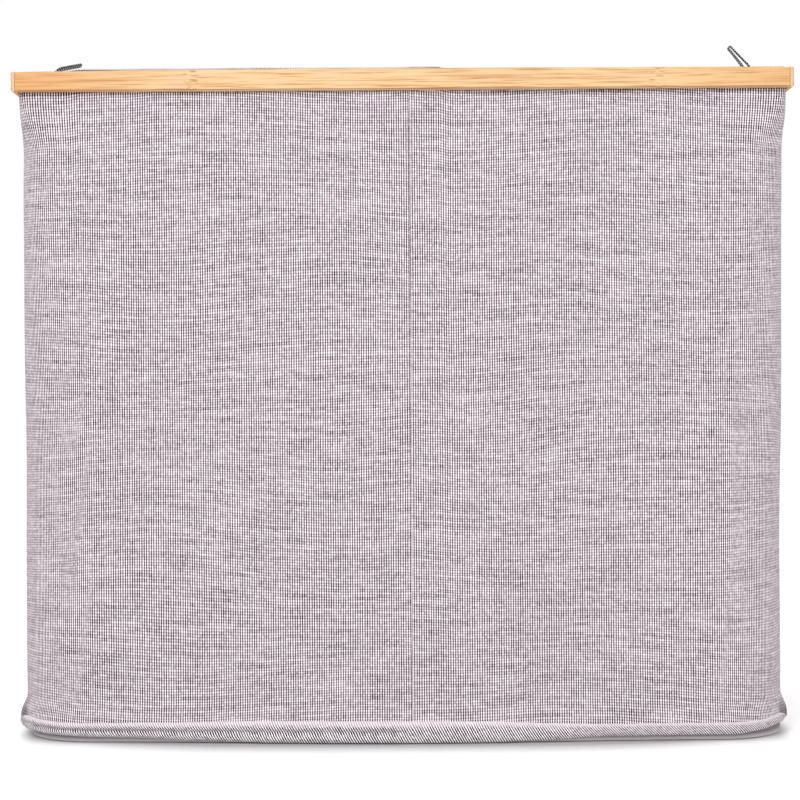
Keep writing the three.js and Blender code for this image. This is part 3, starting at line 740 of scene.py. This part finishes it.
HEM_LEVEL = {-1: 541.9 * MM, 1: 540.2 * MM}


def hem_level(hand, along):
    """Height of the skin's folded hem, which stands proud over the left half of the front."""
    front = smooth(along, run(hand) + ARC, run(hand))
    level = lerp(541.2 * MM, HEM_LEVEL[hand], front)
    if hand > 0:  # it drops a little to the right of the seam
        level += 2.2 * MM * smooth(along, 34 * MM, 22 * MM)
    else:  # and dips near the left corner
        level -= 1.4 * MM * smooth(along, 264 * MM, 278 * MM) * smooth(along, 350 * MM, 330 * MM)
    return level + 0.25 * MM * wave(along / 0.04, 0, 8)


def table(place, stops):
    """Eased steps through (place, value) pairs."""
    value = stops[0][1]
    for (low, first), (high, second) in zip(stops, stops[1:]):
        if place >= low:
            value = lerp(first, second, smooth(place, low, high))
    return value


# How full each end of the shell hangs, by height, in millimetres
SIDE_FULLNESS = {
    -1: [(0.0, 3.8), (0.15, 4.3), (0.27, 3.6), (0.43, 1.6), (0.50, 0.6), (0.53, 0.0)],
    1: [(0.0, 0.4), (0.15, 0.5), (0.27, 1.6), (0.43, 0.3), (0.50, 0.0), (0.53, 0.0)],
}


def skin_puff(hand, along, z):
    """How far the skin stands out from the wall's form."""
    seam = min(along, half_round(hand) - along)  # distance from the nearer seam
    free = smooth(z, 522 * MM, 496 * MM)
    above_foot = smooth(z, SKIN_BOTTOM, 60 * MM)
    broad = 0.4 + 0.45 * wave(hand * along / 0.13, z / 0.17, 1)
    lines = 0.25 * wave(hand * along / 0.02, z / 0.3, 2) * smooth(z, 0.40, 0.52)
    upper = smooth(z, 0.30, 0.45)
    pucker = 0.75 * wave(hand * along / 0.006, z / 0.05, 3) * bell(seam, 13 * MM) * (0.5 + 0.5 * upper)
    off_corner = abs(seam - run(hand) - ARC / 2)
    creases = 0.5 * wave(hand * along / 0.009, z / 0.12, 5) * bell(off_corner, 26 * MM) * smooth(z, 0.42, 0.50)
    turned = smooth(seam - run(hand), 0.66 * ARC, 0.78 * ARC)
    flare = smooth(z, 34 * MM, 15.5 * MM) * lerp(2.6, 5.6, turned)
    valley = (-1.5 * bell(seam, 1.9 * MM) + 0.5 * bell(seam - 5 * MM, 3.2 * MM)) * (0.35 + 0.65 * upper)
    full = end_share(hand, along) * table(z, SIDE_FULLNESS[hand])
    return MM * (free * above_foot * (broad + lines + pucker + creases) + full + flare + valley * free)


def skin_cloth(side):
    hand = HANDS[side]
    width = half_round(hand)
    corner = run(hand) + ARC / 2
    peaks = [(0, 9 * MM, 4), (width, 9 * MM, 4), (corner, 26 * MM, 2.6), (width - corner, 26 * MM, 2.6)]
    up = spread(SKIN_HEIGHT, [(0, 16 * MM, 1.5), (SKIN_HEIGHT, 14 * MM, 1.5)])
    cut = flat_cut(width, SKIN_HEIGHT, 330, 118, spread(width, peaks), up)
    lay_flat(cut, turned=hand < 0)  # the left skin is seen from its other face

    def place(along, up):
        z = lerp(SKIN_BOTTOM, hem_level(hand, along), up / SKIN_HEIGHT)
        point, outward = wall_at(hand, along, z)
        return point + outward * skin_puff(hand, along, z)

    bend(cut, place)
    name = f"skin_{side}"
    made = piece(name + "_cloth", cut, SHELL_CLOTH, "shell", [name], SKIN_THICKNESS, hand < 0)
    flat = (width + SEAM_ALLOWANCE, SKIN_HEIGHT + SKIN_TURN)


for side in HANDS:
    skin_cloth(side)


def hem_whipping():
    """Overcast yarn along the skin's top edge: one small stitch over the edge for each rib."""
    row = bmesh.new()
    lean = Matrix.Rotation(0.5, 4, "Z")
    sized = Matrix.Diagonal((0.62 * MM, 0.78 * MM, 0.62 * MM, 1))
    pitch = 2.1 * MM
    for hand in HANDS.values():
        count = round(half_round(hand) / pitch)
        for i in range(count):
            along = (i + 0.5) / count * half_round(hand)
            level = hem_level(hand, along)
            point, outward = wall_at(hand, along, level, SKIN_THICKNESS / 2)
            point.z += 0.5 * MM
            ahead, _ = wall_at(hand, min(along + MM, half_round(hand)), level, SKIN_THICKNESS / 2)
            forward = (ahead - point).normalized()
            basis = Matrix((forward, outward, Vector((0, 0, 1)))).transposed().to_4x4()
            bead(row, Matrix.Translation(point) @ basis @ lean @ sized)
    piece("skin_hem_whipping", row, HEM_YARN, "shell")


hem_whipping()


# By how far it is from the front seam, in metres: the height of the roll's underside and of its top, in millimetres
ROLL_LIFT = [
    (-0.35, 8.5), (-0.32, 6.4), (-0.286, 5.6), (-0.234, 4.4), (-0.171, 2.2), (-0.11, 0.8),
    (0.06, 0.8), (0.098, 2.0), (0.161, 4.6), (0.261, 5.0), (0.283, 6.6), (0.313, 8.8), (0.338, 11.2),
]
ROLL_TOP = [
    (-0.345, 17.6), (-0.325, 18.0), (-0.305, 16.8), (-0.28, 16.0), (-0.20, 16.4), (-0.11, 18.4),
    (0.04, 18.0), (0.16, 14.2), (0.28, 14.6), (0.31, 17.0), (0.34, 19.0),
]


def welt():
    """Rolled welt round the foot. Over the left of the front it is two rolls with a crease between them."""
    girth = 36 * MM
    cut = flat_cut(WHOLE_ROUND, girth, 620, 28)
    face_share = 0.62  # share of the girth that shows, from the underside to the top

    def proud(height, two):
        """How far the roll stands out at a height, from 0 at its underside to 1 at its top."""
        one = 7.4 * math.sqrt(max(0, 1 - abs((height - 0.46) / 0.54) ** 2.4))
        upper = 7.2 * math.sqrt(max(0, 1 - abs((height - 0.74) / 0.27) ** 2.2))
        lower = 7.6 * math.sqrt(max(0, 1 - abs((height - 0.25) / 0.26) ** 2.2))
        return lerp(one, max(upper, lower, 4.0 if height < 0.74 else 0), two)

    def place(along, round_it):
        share = round_it / girth
        x = along if along < WHOLE_ROUND / 2 else along - WHOLE_ROUND  # less than 0 to the left of the seam
        front = smooth(abs(x), 0.44, 0.36)
        two = smooth(abs(x), 0.36, 0.30) * smooth(x, 0.006, -0.02)
        lift = lerp(2.6 + 1.0 * wave(x / 0.2, 0, 14), table(x, ROLL_LIFT), front)
        top = lerp(15.0 + 1.2 * wave(x / 0.15, 0, 15), table(x, ROLL_TOP), front)
        uneven = 0.35 * wave(along / 0.03, 0, 11) + 0.2 * wave(along / 0.008, 0, 12)
        uneven *= smooth(min(along, WHOLE_ROUND - along), 0, 12 * MM)
        if share < face_share:
            height = share / face_share
            out = proud(height, two) + uneven
        else:
            back = (share - face_share) / (1 - face_share)
            height = 1 - smooth(back, 0.2, 0.8)
            top = lerp(top, 12.0, smooth(back, 0.0, 0.5))
            out = lerp(-1.2 * smooth(back, 0.0, 0.2), proud(0, two) + uneven, smooth(back, 0.8, 1.0))
        hand = 1 if x > 0 else -1
        out += end_share(hand, abs(x)) * (2.7 if hand < 0 else -1.4)
        return round_foot(along, max(-1.2, out), lerp(lift, top, height) * MM)

    bend(cut, place, closed=True)
    made = piece("base_welt_roll", cut, WELT_CLOTH, "shell", ["base_welt"])


welt()


def base_edging():
    """Strip of cloth round the edge of the base, behind the roll, with painted shade that deepens towards the roll.
    """
    height = 11.6 * MM
    cut = flat_cut(WHOLE_ROUND, height, 320, 4)

    def place(along, up):
        return round_foot(along, 0.25 + 0.15 * wave(along / 0.02, 0, 16), 0.4 * MM + up)

    bend(cut, place, closed=True)
    made = piece("base_edging", cut, EDGING_CLOTH, "shell", (), 0.8 * MM)


base_edging()


def flat_layer(node_name, finish_of, ripple):
    """A flat layer of the floor, cut from its solid, with a grid of cuts across it that lets it ripple."""
    layer = solid_copy(node_name)
    slice_evenly(layer, 0, WALL_HALF_X, 44)
    slice_evenly(layer, 1, WALL_HALF_Y, 24)
    low = min(point.co.z for point in layer.verts)
    high = max(point.co.z for point in layer.verts)
    for point in layer.verts:
        upper = (point.co.z - low) / (high - low)
        point.co.z += upper * ripple * (wave(point.co.x / 0.05, point.co.y / 0.05, 21) - 1) / 2
    bmesh.ops.triangulate(layer, faces=layer.faces)
    layer.loops.layers.uv.new(UV_NAME)
    lay_flat(layer)
    made = piece(node_name + "_layer", layer, finish_of, "shell", [node_name])


flat_layer("base_cloth", SHELL_CLOTH, 0.2 * MM)
flat_layer("base_lining", LINING_CLOTH, 0.25 * MM)


# Lining, divider and tapes


def lining_cloth(side):
    hand = HANDS[side]
    width = half_round(hand) - 12 * MM
    height = LINING_TOP - LINING_BOTTOM
    corner = run(hand) + ARC / 2
    across = spread(width, [(corner, 26 * MM, 3), (width - corner, 26 * MM, 3)])
    cut = flat_cut(width, height, 190, 80, across)

    def place(along, up):
        z = LINING_BOTTOM + up
        round_it = 0.2 * MM + along / width * (half_round(hand) - 0.4 * MM)
        point, outward = wall_at(hand, round_it, z, LINING_INSET)
        off_tape = smooth(z, 498 * MM, 470 * MM) * smooth(z, 4 * MM, 30 * MM)
        soft = 0.5 + 0.5 * wave(hand * along / 0.07, z / 0.11, 31)
        return point - outward * (0.1 + 1.3 * soft * off_tape) * MM

    bend(cut, place)
    name = f"lining_{side}"
    made = piece(name + "_cloth", cut, LINING_CLOTH, "shell", [name], 0.7 * MM, hand < 0)


for side in HANDS:
    lining_cloth(side)


def divider_sleeve():
    """Cloth sleeve over the divider's board: up one face, over the top and down the other."""
    radius = DIVIDER_HALF
    wall = DIVIDER_TOP - radius - LINER_BOTTOM
    over = math.pi * radius
    height = 2 * wall + over
    width = 310 * MM
    cut = flat_cut(width, height, 64, 240, up=spread(height, [(height / 2, 14 * MM, 14)]))

    def place(across, up):
        share = across / width * 2 - 1
        if up < wall:
            x, z = -radius, LINER_BOTTOM + up
        elif up > height - wall:
            x, z = radius, LINER_BOTTOM + height - up
        else:
            turn = (up - wall) / over * math.pi
            x, z = -radius * math.cos(turn), DIVIDER_TOP - radius + radius * math.sin(turn)
        end = long_wall(SEAM_SHIFT, z, LINING_FACE) - SEAT - 0.2 * MM
        side = 1 if x > 0 else -1
        below_top = smooth(z, DIVIDER_TOP, DIVIDER_TOP - 30 * MM)
        soft = 0.9 * (0.5 + 0.5 * wave(share * 2.4 + side, z / 0.12, 41)) * below_top
        pinch = smooth(abs(share), 1.0, 0.985)
        x = x * lerp(0.75, 1, pinch) + side * soft * pinch * MM * (1 if abs(x) > radius * 0.99 else 0)
        return Vector((SEAM_SHIFT + x, share * end, z))

    bend(cut, place)
    made = piece("divider_sleeve", cut, LINING_CLOTH, "shell", ["divider_cover"], 0.7 * MM)
    rows = []
    for side in (-1, 1):
        x = SEAM_SHIFT + side * (DIVIDER_HALF + 0.15 * MM)
        end = long_wall(SEAM_SHIFT, DIVIDER_TOP, LINING_FACE) - 6 * MM
        z = DIVIDER_TOP - 9 * MM
        rows.append([Vector((x, lerp(-end, end, i / 40), z)) for i in range(41)])
    stitches("divider_topstitch", rows, LINER_THREAD, "shell")


divider_sleeve()


def liner_span(hand):
    inner = SEAM_SHIFT + hand * (DIVIDER_HALF + LINER_CLEARANCE)
    outer = hand * (WALL_HALF_X - LINER_INSET)
    return min(inner, outer), max(inner, outer)


def tape(side, face_name, hooked):
    """Half of the hook-and-loop tape that holds a liner: hooks on the liner, or loops on the lining."""
    face = FACES[face_name]
    from_x = sum(liner_span(HANDS[side])) / 2 - TAPE_LENGTH / 2
    cut = flat_cut(TAPE_LENGTH, TAPE_HEIGHT, 60, 10)

    def place(across, up):
        x, z = from_x + across, TAPE_TOP - TAPE_HEIGHT + up
        crown = bulge(up - TAPE_HEIGHT / 2, TAPE_HEIGHT / 2)
        if hooked:
            y = LINER_HALF_Y + SEAT + HOOK_TAPE_THICKNESS - 0.2 * MM * (1 - crown)
        else:
            y = long_wall(x, z, LOOP_TAPE_INSET + 0.75 * MM + 0.15 * MM * crown)
        return Vector((x, face * y, z))

    bend(cut, place)
    name, finish_of, body, thickness = f"loop_tape_{face_name}_{side}", LOOP_TAPE, "shell", 0.75 * MM
    if hooked:
        name, finish_of, body, thickness = f"{side}_hook_tape_{face_name}", HOOK_TAPE, f"{side}_liner", 0.9 * MM
    piece(name + "_strip", cut, finish_of, body, [name], thickness, hooked == (face > 0))


for side in HANDS:
    for face_name in FACES:
        tape(side, face_name, hooked=False)


# Lift-out liners


def liner_drape(hand, along, z):
    """How far a liner's wall hangs in from its outline: upright folds that die out at the hem and at the foot."""
    soft = smooth(z, 500 * MM, 380 * MM) * smooth(z, 8 * MM, 70 * MM)
    folds = 0.5 + 0.5 * wave(along / 0.085 + 3 * hand, z / 0.5, 51)
    small = 0.5 + 0.5 * wave(along / 0.03, z / 0.16, 52)
    hem = 0.35 * (0.5 + 0.5 * wave(along / 0.05, z / 0.05, 53)) * smooth(z, 530 * MM, 505 * MM)
    return MM * (soft * (9.0 * folds ** 2 + 2.2 * small) + hem)


def on_liner(hand, at, along, inset, z):
    """A point on a liner's wall, which drapes in from its outline."""
    point, outward = at(along, inset)
    point = point - outward * liner_drape(hand, along, z)
    point.z = z
    return point


def liner_wall(side, total, at, foot):
    turn_length = math.pi / 2 * foot
    height = turn_length + LINER_TOP - 1.2 * MM - LINER_BOTTOM - foot
    cut = flat_cut(total, height, 250, 110, up=spread(height, [(0, 22 * MM, 2.5)]))

    def place(along, up):
        if up < turn_length:
            turn = up / foot
            inset, z = foot * (1 - math.sin(turn)), LINER_BOTTOM + foot * (1 - math.cos(turn))
        else:
            inset, z = 0.0, LINER_BOTTOM + foot + up - turn_length
        return on_liner(HANDS[side], at, along, inset, z)

    bend(cut, place, closed=True)
    name, body = f"{side}_liner_cloth", f"{side}_liner"
    made = piece(name, cut, LINER_CLOTH, body, [f"{side}_liner_bag"], LINER_THICKNESS * 0.9)
    flat = (total + SEAM_ALLOWANCE, height + SEAM_ALLOWANCE)


def liner_floor(side, total, at, foot):
    hand, body = HANDS[side], f"{side}_liner"
    from_x, to_x = liner_span(hand)
    cut = flat_cut(total, 1.0, 150, 24)
    middle = Vector(((from_x + to_x) / 2, 0, 0))

    def place(along, share):
        point, _ = at(along, foot)
        point = middle + (point - middle) * (1 - share)
        lift = 1.5 * (0.5 + 0.5 * wave(point.x / 0.05, point.y / 0.06, 61 + hand)) * smooth(share, 0, 0.15)
        point.z = LINER_BOTTOM + 0.05 * MM + lift * MM
        return point

    bend(cut, place, closed=True)
    lay_flat(cut)
    name, solid = f"{side}_liner_floor", f"{side}_liner_bottom"
    made = piece(name, cut, LINER_CLOTH, body, [solid], 0.9 * MM, True)
    to_x - from_x
    2 * LINER_HALF_Y

    seam = [at(i / 400 * total, foot - 1.5 * MM)[0] + Vector((0, 0, LINER_BOTTOM + 1.6 * MM)) for i in range(401)]
    stitches(f"{side}_liner_floor_seam", [seam], LINER_THREAD, body, radius=0.5 * MM)


def liner_hem(side, total, at):
    """The hem, folded in over the bag's top edge, and its two rows of stitches."""
    hand, body = HANDS[side], f"{side}_liner"
    inner, outer, radius = LINER_HEM_HEIGHT - 1.4 * MM, 5 * MM, 1.25 * MM
    over = math.pi * radius
    band = inner + over + outer
    top = LINER_TOP - radius
    cut = flat_cut(total, band, 250, 30, up=spread(band, [(inner + 2 * MM, 3 * MM, 6)]))

    def place(along, up):
        if up < inner:
            inset, z = 2 * radius, top - inner + up
        elif up < inner + over:
            turn = (up - inner) / radius
            inset, z = radius * (1 + math.cos(turn)), top + radius * math.sin(turn)
        else:
            inset, z = 0.0, top - (up - inner - over)
        return on_liner(hand, at, along, inset - 0.35 * MM, z)

    bend(cut, place, closed=True)
    made = piece(f"{side}_liner_hem_fold", cut, LINER_CLOTH, body, [f"{side}_liner_hem"], 0.5 * MM)
    rows = [
        [on_liner(hand, at, i / 300 * total, 2 * radius + 0.3 * MM, z) for i in range(301)]
        for z in (LINER_TOP - LINER_HEM_HEIGHT + 3 * MM, LINER_TOP - 4 * MM)
    ]
    stitches(f"{side}_liner_hem_stitches", rows, LINER_THREAD, body)


for side, hand in HANDS.items():
    total, at = rounded_path(*liner_span(hand), LINER_HALF_Y, LINER_CORNER_RADIUS)
    foot = 16 * MM  # radius of the turn from the wall to the floor
    liner_wall(side, total, at, foot)
    liner_floor(side, total, at, foot)
    liner_hem(side, total, at)


for side in HANDS:
    for face_name in FACES:
        tape(side, face_name, hooked=True)


# Pull loops

LEAN_ROOM = LINER_INSET + PULL_INSET - LINING_FACE - STRAP_THICKNESS - SEAT
REST_LEAN = -math.degrees(math.atan2(LEAN_ROOM, RIM_TOP + 0.5 * MM - PULL_HEIGHT))
# How each strap stands: the lean of its root and its tip and the turns of its outer layer, its inner layer and its
# rear edge, in degrees, and its straight run, bend radius, gap between the layers and extra length, in millimetres
HANGING = {"root": 78, "tip": 140, "run": 10, "bend": 20, "slit": 4, "long": 0}
STANCES = {
    ("right", "outer"): {
        "root": 0.57 * REST_LEAN, "tip": 41, "run": 29, "bend": 10, "slit": 4, "long": 0.4,
        "turns": (9.1, 6.5, 9),
    },
    ("left", "outer"): {
        "root": 0.68 * REST_LEAN, "tip": 80, "run": 31.6, "bend": 7, "slit": 0.5, "long": 0,
        "turns": (-10.3, -10.3, 8),
    },
    ("right", "inner"): {**HANGING, "turns": (3, 3, 2)},
    ("left", "inner"): {**HANGING, "turns": (-4, -4, 3)},
}


def strap_course(stance):
    """The doubled strap's middle line, as (inward, height, lean, distance) at every step from its sewn end."""
    step = 0.25 * MM
    root, tip = math.radians(stance["root"]), math.radians(stance["tip"])
    straight = stance["run"] * MM
    bent = straight + stance["bend"] * MM * (tip - root)
    end = STRAP_LENGTH + (stance["long"] - stance["slit"] / 2 * LOOP_TIP_SHARE) * MM - STRAP_THICKNESS
    count = round((STRAP_SEWN + end) / step)
    inward, height, course = 0.0, -STRAP_SEWN, []
    for i in range(count + 1):
        distance = i * step - STRAP_SEWN
        lean = lerp(0, root, smooth(distance, -3 * MM, 4 * MM))
        if distance > straight:
            lean = lerp(root, tip, smooth(distance, straight - 3 * MM, bent + 3 * MM))
        course.append((inward, height, lean, distance))
        inward += step * math.sin(lean)
        height += step * math.cos(lean)
    return course


def pull(side, place_name):
    """A pull loop: a strap that goes out from its patch, turns at the tip and comes back."""
    hand, name = HANDS[side], f"{side}_{place_name}"
    stance = STANCES[side, place_name]
    from_x, to_x = liner_span(hand)
    at_high = (hand > 0) == (place_name == "outer")
    wall_x, inward_way = (to_x, -1) if at_high else (from_x, 1)
    course = strap_course(stance)
    leg = course[-1][3] - course[0][3]
    tip_radius = (STRAP_THICKNESS + stance["slit"] * MM * LOOP_TIP_SHARE) / 2
    tip = math.pi * tip_radius
    total = 2 * leg + tip
    cut = flat_cut(total, STRAP_WIDTH, 150, 14, up=spread(STRAP_WIDTH, [(0, 2 * MM, 1), (STRAP_WIDTH, 2 * MM, 1)]))

    def place(along, across):
        back = along > leg + tip
        way = min(along, total - along)
        turn = 0.0
        if along >= leg and not back:
            way, turn = leg, (along - leg) / tip_radius
        inward, height, lean, distance = course[min(len(course) - 1, round(way / leg * (len(course) - 1)))]
        opened = smooth(distance, LOOP_PINCH, LOOP_PINCH + LOOP_OPENING)
        opened *= lerp(1, LOOP_TIP_SHARE, smooth(distance, STRAP_LENGTH / 2, course[-1][3]))
        offset = STRAP_THICKNESS / 2 + stance["slit"] * MM / 2 * opened
        ahead = Vector((math.sin(lean), math.cos(lean)))
        sideways = Vector((math.cos(lean), -math.sin(lean)))
        if along >= leg and not back:
            flat = ahead * tip_radius * math.sin(turn) - sideways * tip_radius * math.cos(turn)
        else:
            flat = sideways * (offset if back else -offset)
        free = smooth(distance, 2 * MM, 16 * MM)
        outer_twist, inner_twist, tilt = (math.radians(angle) * free for angle in stance["turns"])
        twist = lerp(outer_twist, inner_twist, smooth(along, leg, leg + tip))
        width = across - STRAP_WIDTH / 2
        waves = 0.35 * MM * wave(along / 0.02, width / 0.03, 71) * free
        x = inward_way * (PULL_INSET + inward + flat.x + waves)
        up = PULL_HEIGHT + height + flat.y + width * math.sin(tilt)
        return Vector((wall_x + x + width * math.sin(twist), width * math.cos(twist), up))

    bend(cut, place)
    root = Vector((wall_x + inward_way * PULL_INSET, 0, PULL_HEIGHT))
    nodes = [name + "_pull", name + "_pull_patch"]
    made = piece(name + "_strap", cut, STRAP_CLOTH, None, nodes, STRAP_THICKNESS * 0.8, hand > 0)
    made.modifiers["thickness"].offset = 0
    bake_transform(made)

    low, high = PULL_HEIGHT - STRAP_SEWN + 3 * MM, LINER_TOP - 5 * MM
    half = STRAP_WIDTH / 2 - 3 * MM
    x = wall_x + inward_way * (PULL_INSET + STRAP_THICKNESS + 0.05 * MM)
    corners = [Vector((x, y, z)) for y, z in ((-half, low), (half, low), (half, high), (-half, high), (-half, low))]
    cross = [[corners[0], corners[2]], [corners[1], corners[3]]]
    stitches(name + "_box_stitch", [corners, *cross], HEM_YARN, f"{side}_liner")


for side, place_name in STANCES:
    pull(side, place_name)


# Floor, light and camera


def studio():
    ground = bmesh.new()
    bmesh.ops.create_grid(ground, x_segments=1, y_segments=1, size=8)
    bmesh.ops.translate(ground, verts=ground.verts, vec=(0, 0, -0.2 * MM))
    pale, start = finish("pale_floor")
    x, y, _ = object_coordinates(start)
    speckle = start.noise(x * 40, y * 40)
    tone = start.mix(speckle, srgb(240, 240, 240), srgb(244, 244, 244))
    plain = start.node("ShaderNodeBsdfDiffuse", {}, {"Color": tone})

    # The camera sees a floor with a painted shadow: grey at the foot and growing white around it, by its distance
    # from a
    #     rounded oblong whose long sides bow outwards
    half_x, half_y, side_bow, foot_reach, fade = 256 * MM, 86 * MM, 31 * MM, 64 * MM, 75 * MM
    x, y = abs(x), abs(y)
    share = (x / half_x) * (x / half_x)
    bowed = (1 - share * share).at_least(0.0)
    beyond_x = (x - half_x).at_least(0.0)
    beyond_y = (y - half_y - bowed * side_bow).at_least(0.0)
    off = start.sum("SQRT", beyond_x * beyond_x + beyond_y * beyond_y)
    past_end = (x - 301 * MM).at_least(0.0)
    near = 1 - ((off - foot_reach + past_end * past_end / (7 * MM)) / fade)
    near = near.node("ShaderNodeClamp", {}, {0: near})
    white = start.mix(near * near, (1.4, 1.4, 1.4, 1.0), (0.55, 0.55, 0.55, 1.0))
    white = start.node("ShaderNodeBsdfDiffuse", {}, {"Color": white})
    seen = start.node("ShaderNodeLightPath")
    both = start.node("ShaderNodeMixShader", {}, {0: seen, 1: plain, 2: white})
    start.node("ShaderNodeOutputMaterial", {}, {"Surface": both})
    piece("floor", ground, pale)

    world = bpy.data.worlds.new("studio_world")
    bpy.context.scene.world = world
    world.use_nodes = True
    world.node_tree.nodes.clear()
    start = Wire(world.node_tree)
    # Rays that come straight from the camera, off a gloss or through a surface meet plain white
    seen = start.node("ShaderNodeLightPath")
    shown = seen.at_least(seen.output(3).at_least(seen.output(6)))
    dome = start.node("ShaderNodeBackground", {}, {"Color": (1, 1, 1, 1), "Strength": 0.78})
    white = start.node("ShaderNodeBackground", {}, {"Color": (1, 1, 1, 1), "Strength": 1.0})
    both = start.node("ShaderNodeMixShader", {}, {0: shown, 1: dome, 2: white})
    start.node("ShaderNodeOutputWorld", {}, {"Surface": both})

    lit = Vector((0, 0, 0.25))
    for name, spot, power in (("key_lamp", (-1.3, -2.2, 2.0), 26), ("fill_lamp", (1.8, -1.6, 1.2), 9)):
        lamp = bpy.data.lights.new(name, "AREA")
        lamp.size, lamp.energy = 1.6, power
        made = bpy.data.objects.new(name, lamp)
        made.location = spot
        made.rotation_euler = (lit - Vector(spot)).to_track_quat("-Z", "Y").to_euler()
        bpy.context.scene.collection.objects.link(made)


studio()

CAMERA_DISTANCE = 1500 * MM
CAMERA_HEIGHT = 274.4 * MM
CAMERA_ROLL = math.radians(-0.31)
FRAME_WIDTH = 642.2 * MM  # how much of the rim's plane the picture is wide
SENSOR_WIDTH = 36
camera_data = bpy.data.cameras.new("camera")
camera_data.lens = SENSOR_WIDTH * CAMERA_DISTANCE / FRAME_WIDTH
camera_data.clip_start, camera_data.clip_end = 0.05, 50
camera = bpy.data.objects.new("camera", camera_data)
bpy.context.scene.collection.objects.link(camera)
spot = Vector((8.5 * MM, -RIM_DEPTH / 2 - CAMERA_DISTANCE, CAMERA_HEIGHT))
aim = Vector((-2.8 * MM, -RIM_DEPTH / 2, CAMERA_HEIGHT))
turned = (aim - spot).to_track_quat("-Z", "Y").to_matrix().to_4x4()
camera.matrix_world = Matrix.Translation(spot) @ turned @ Matrix.Rotation(CAMERA_ROLL, 4, "Z")
bpy.context.scene.camera = camera

bpy.context.scene.view_settings.view_transform = "Standard"
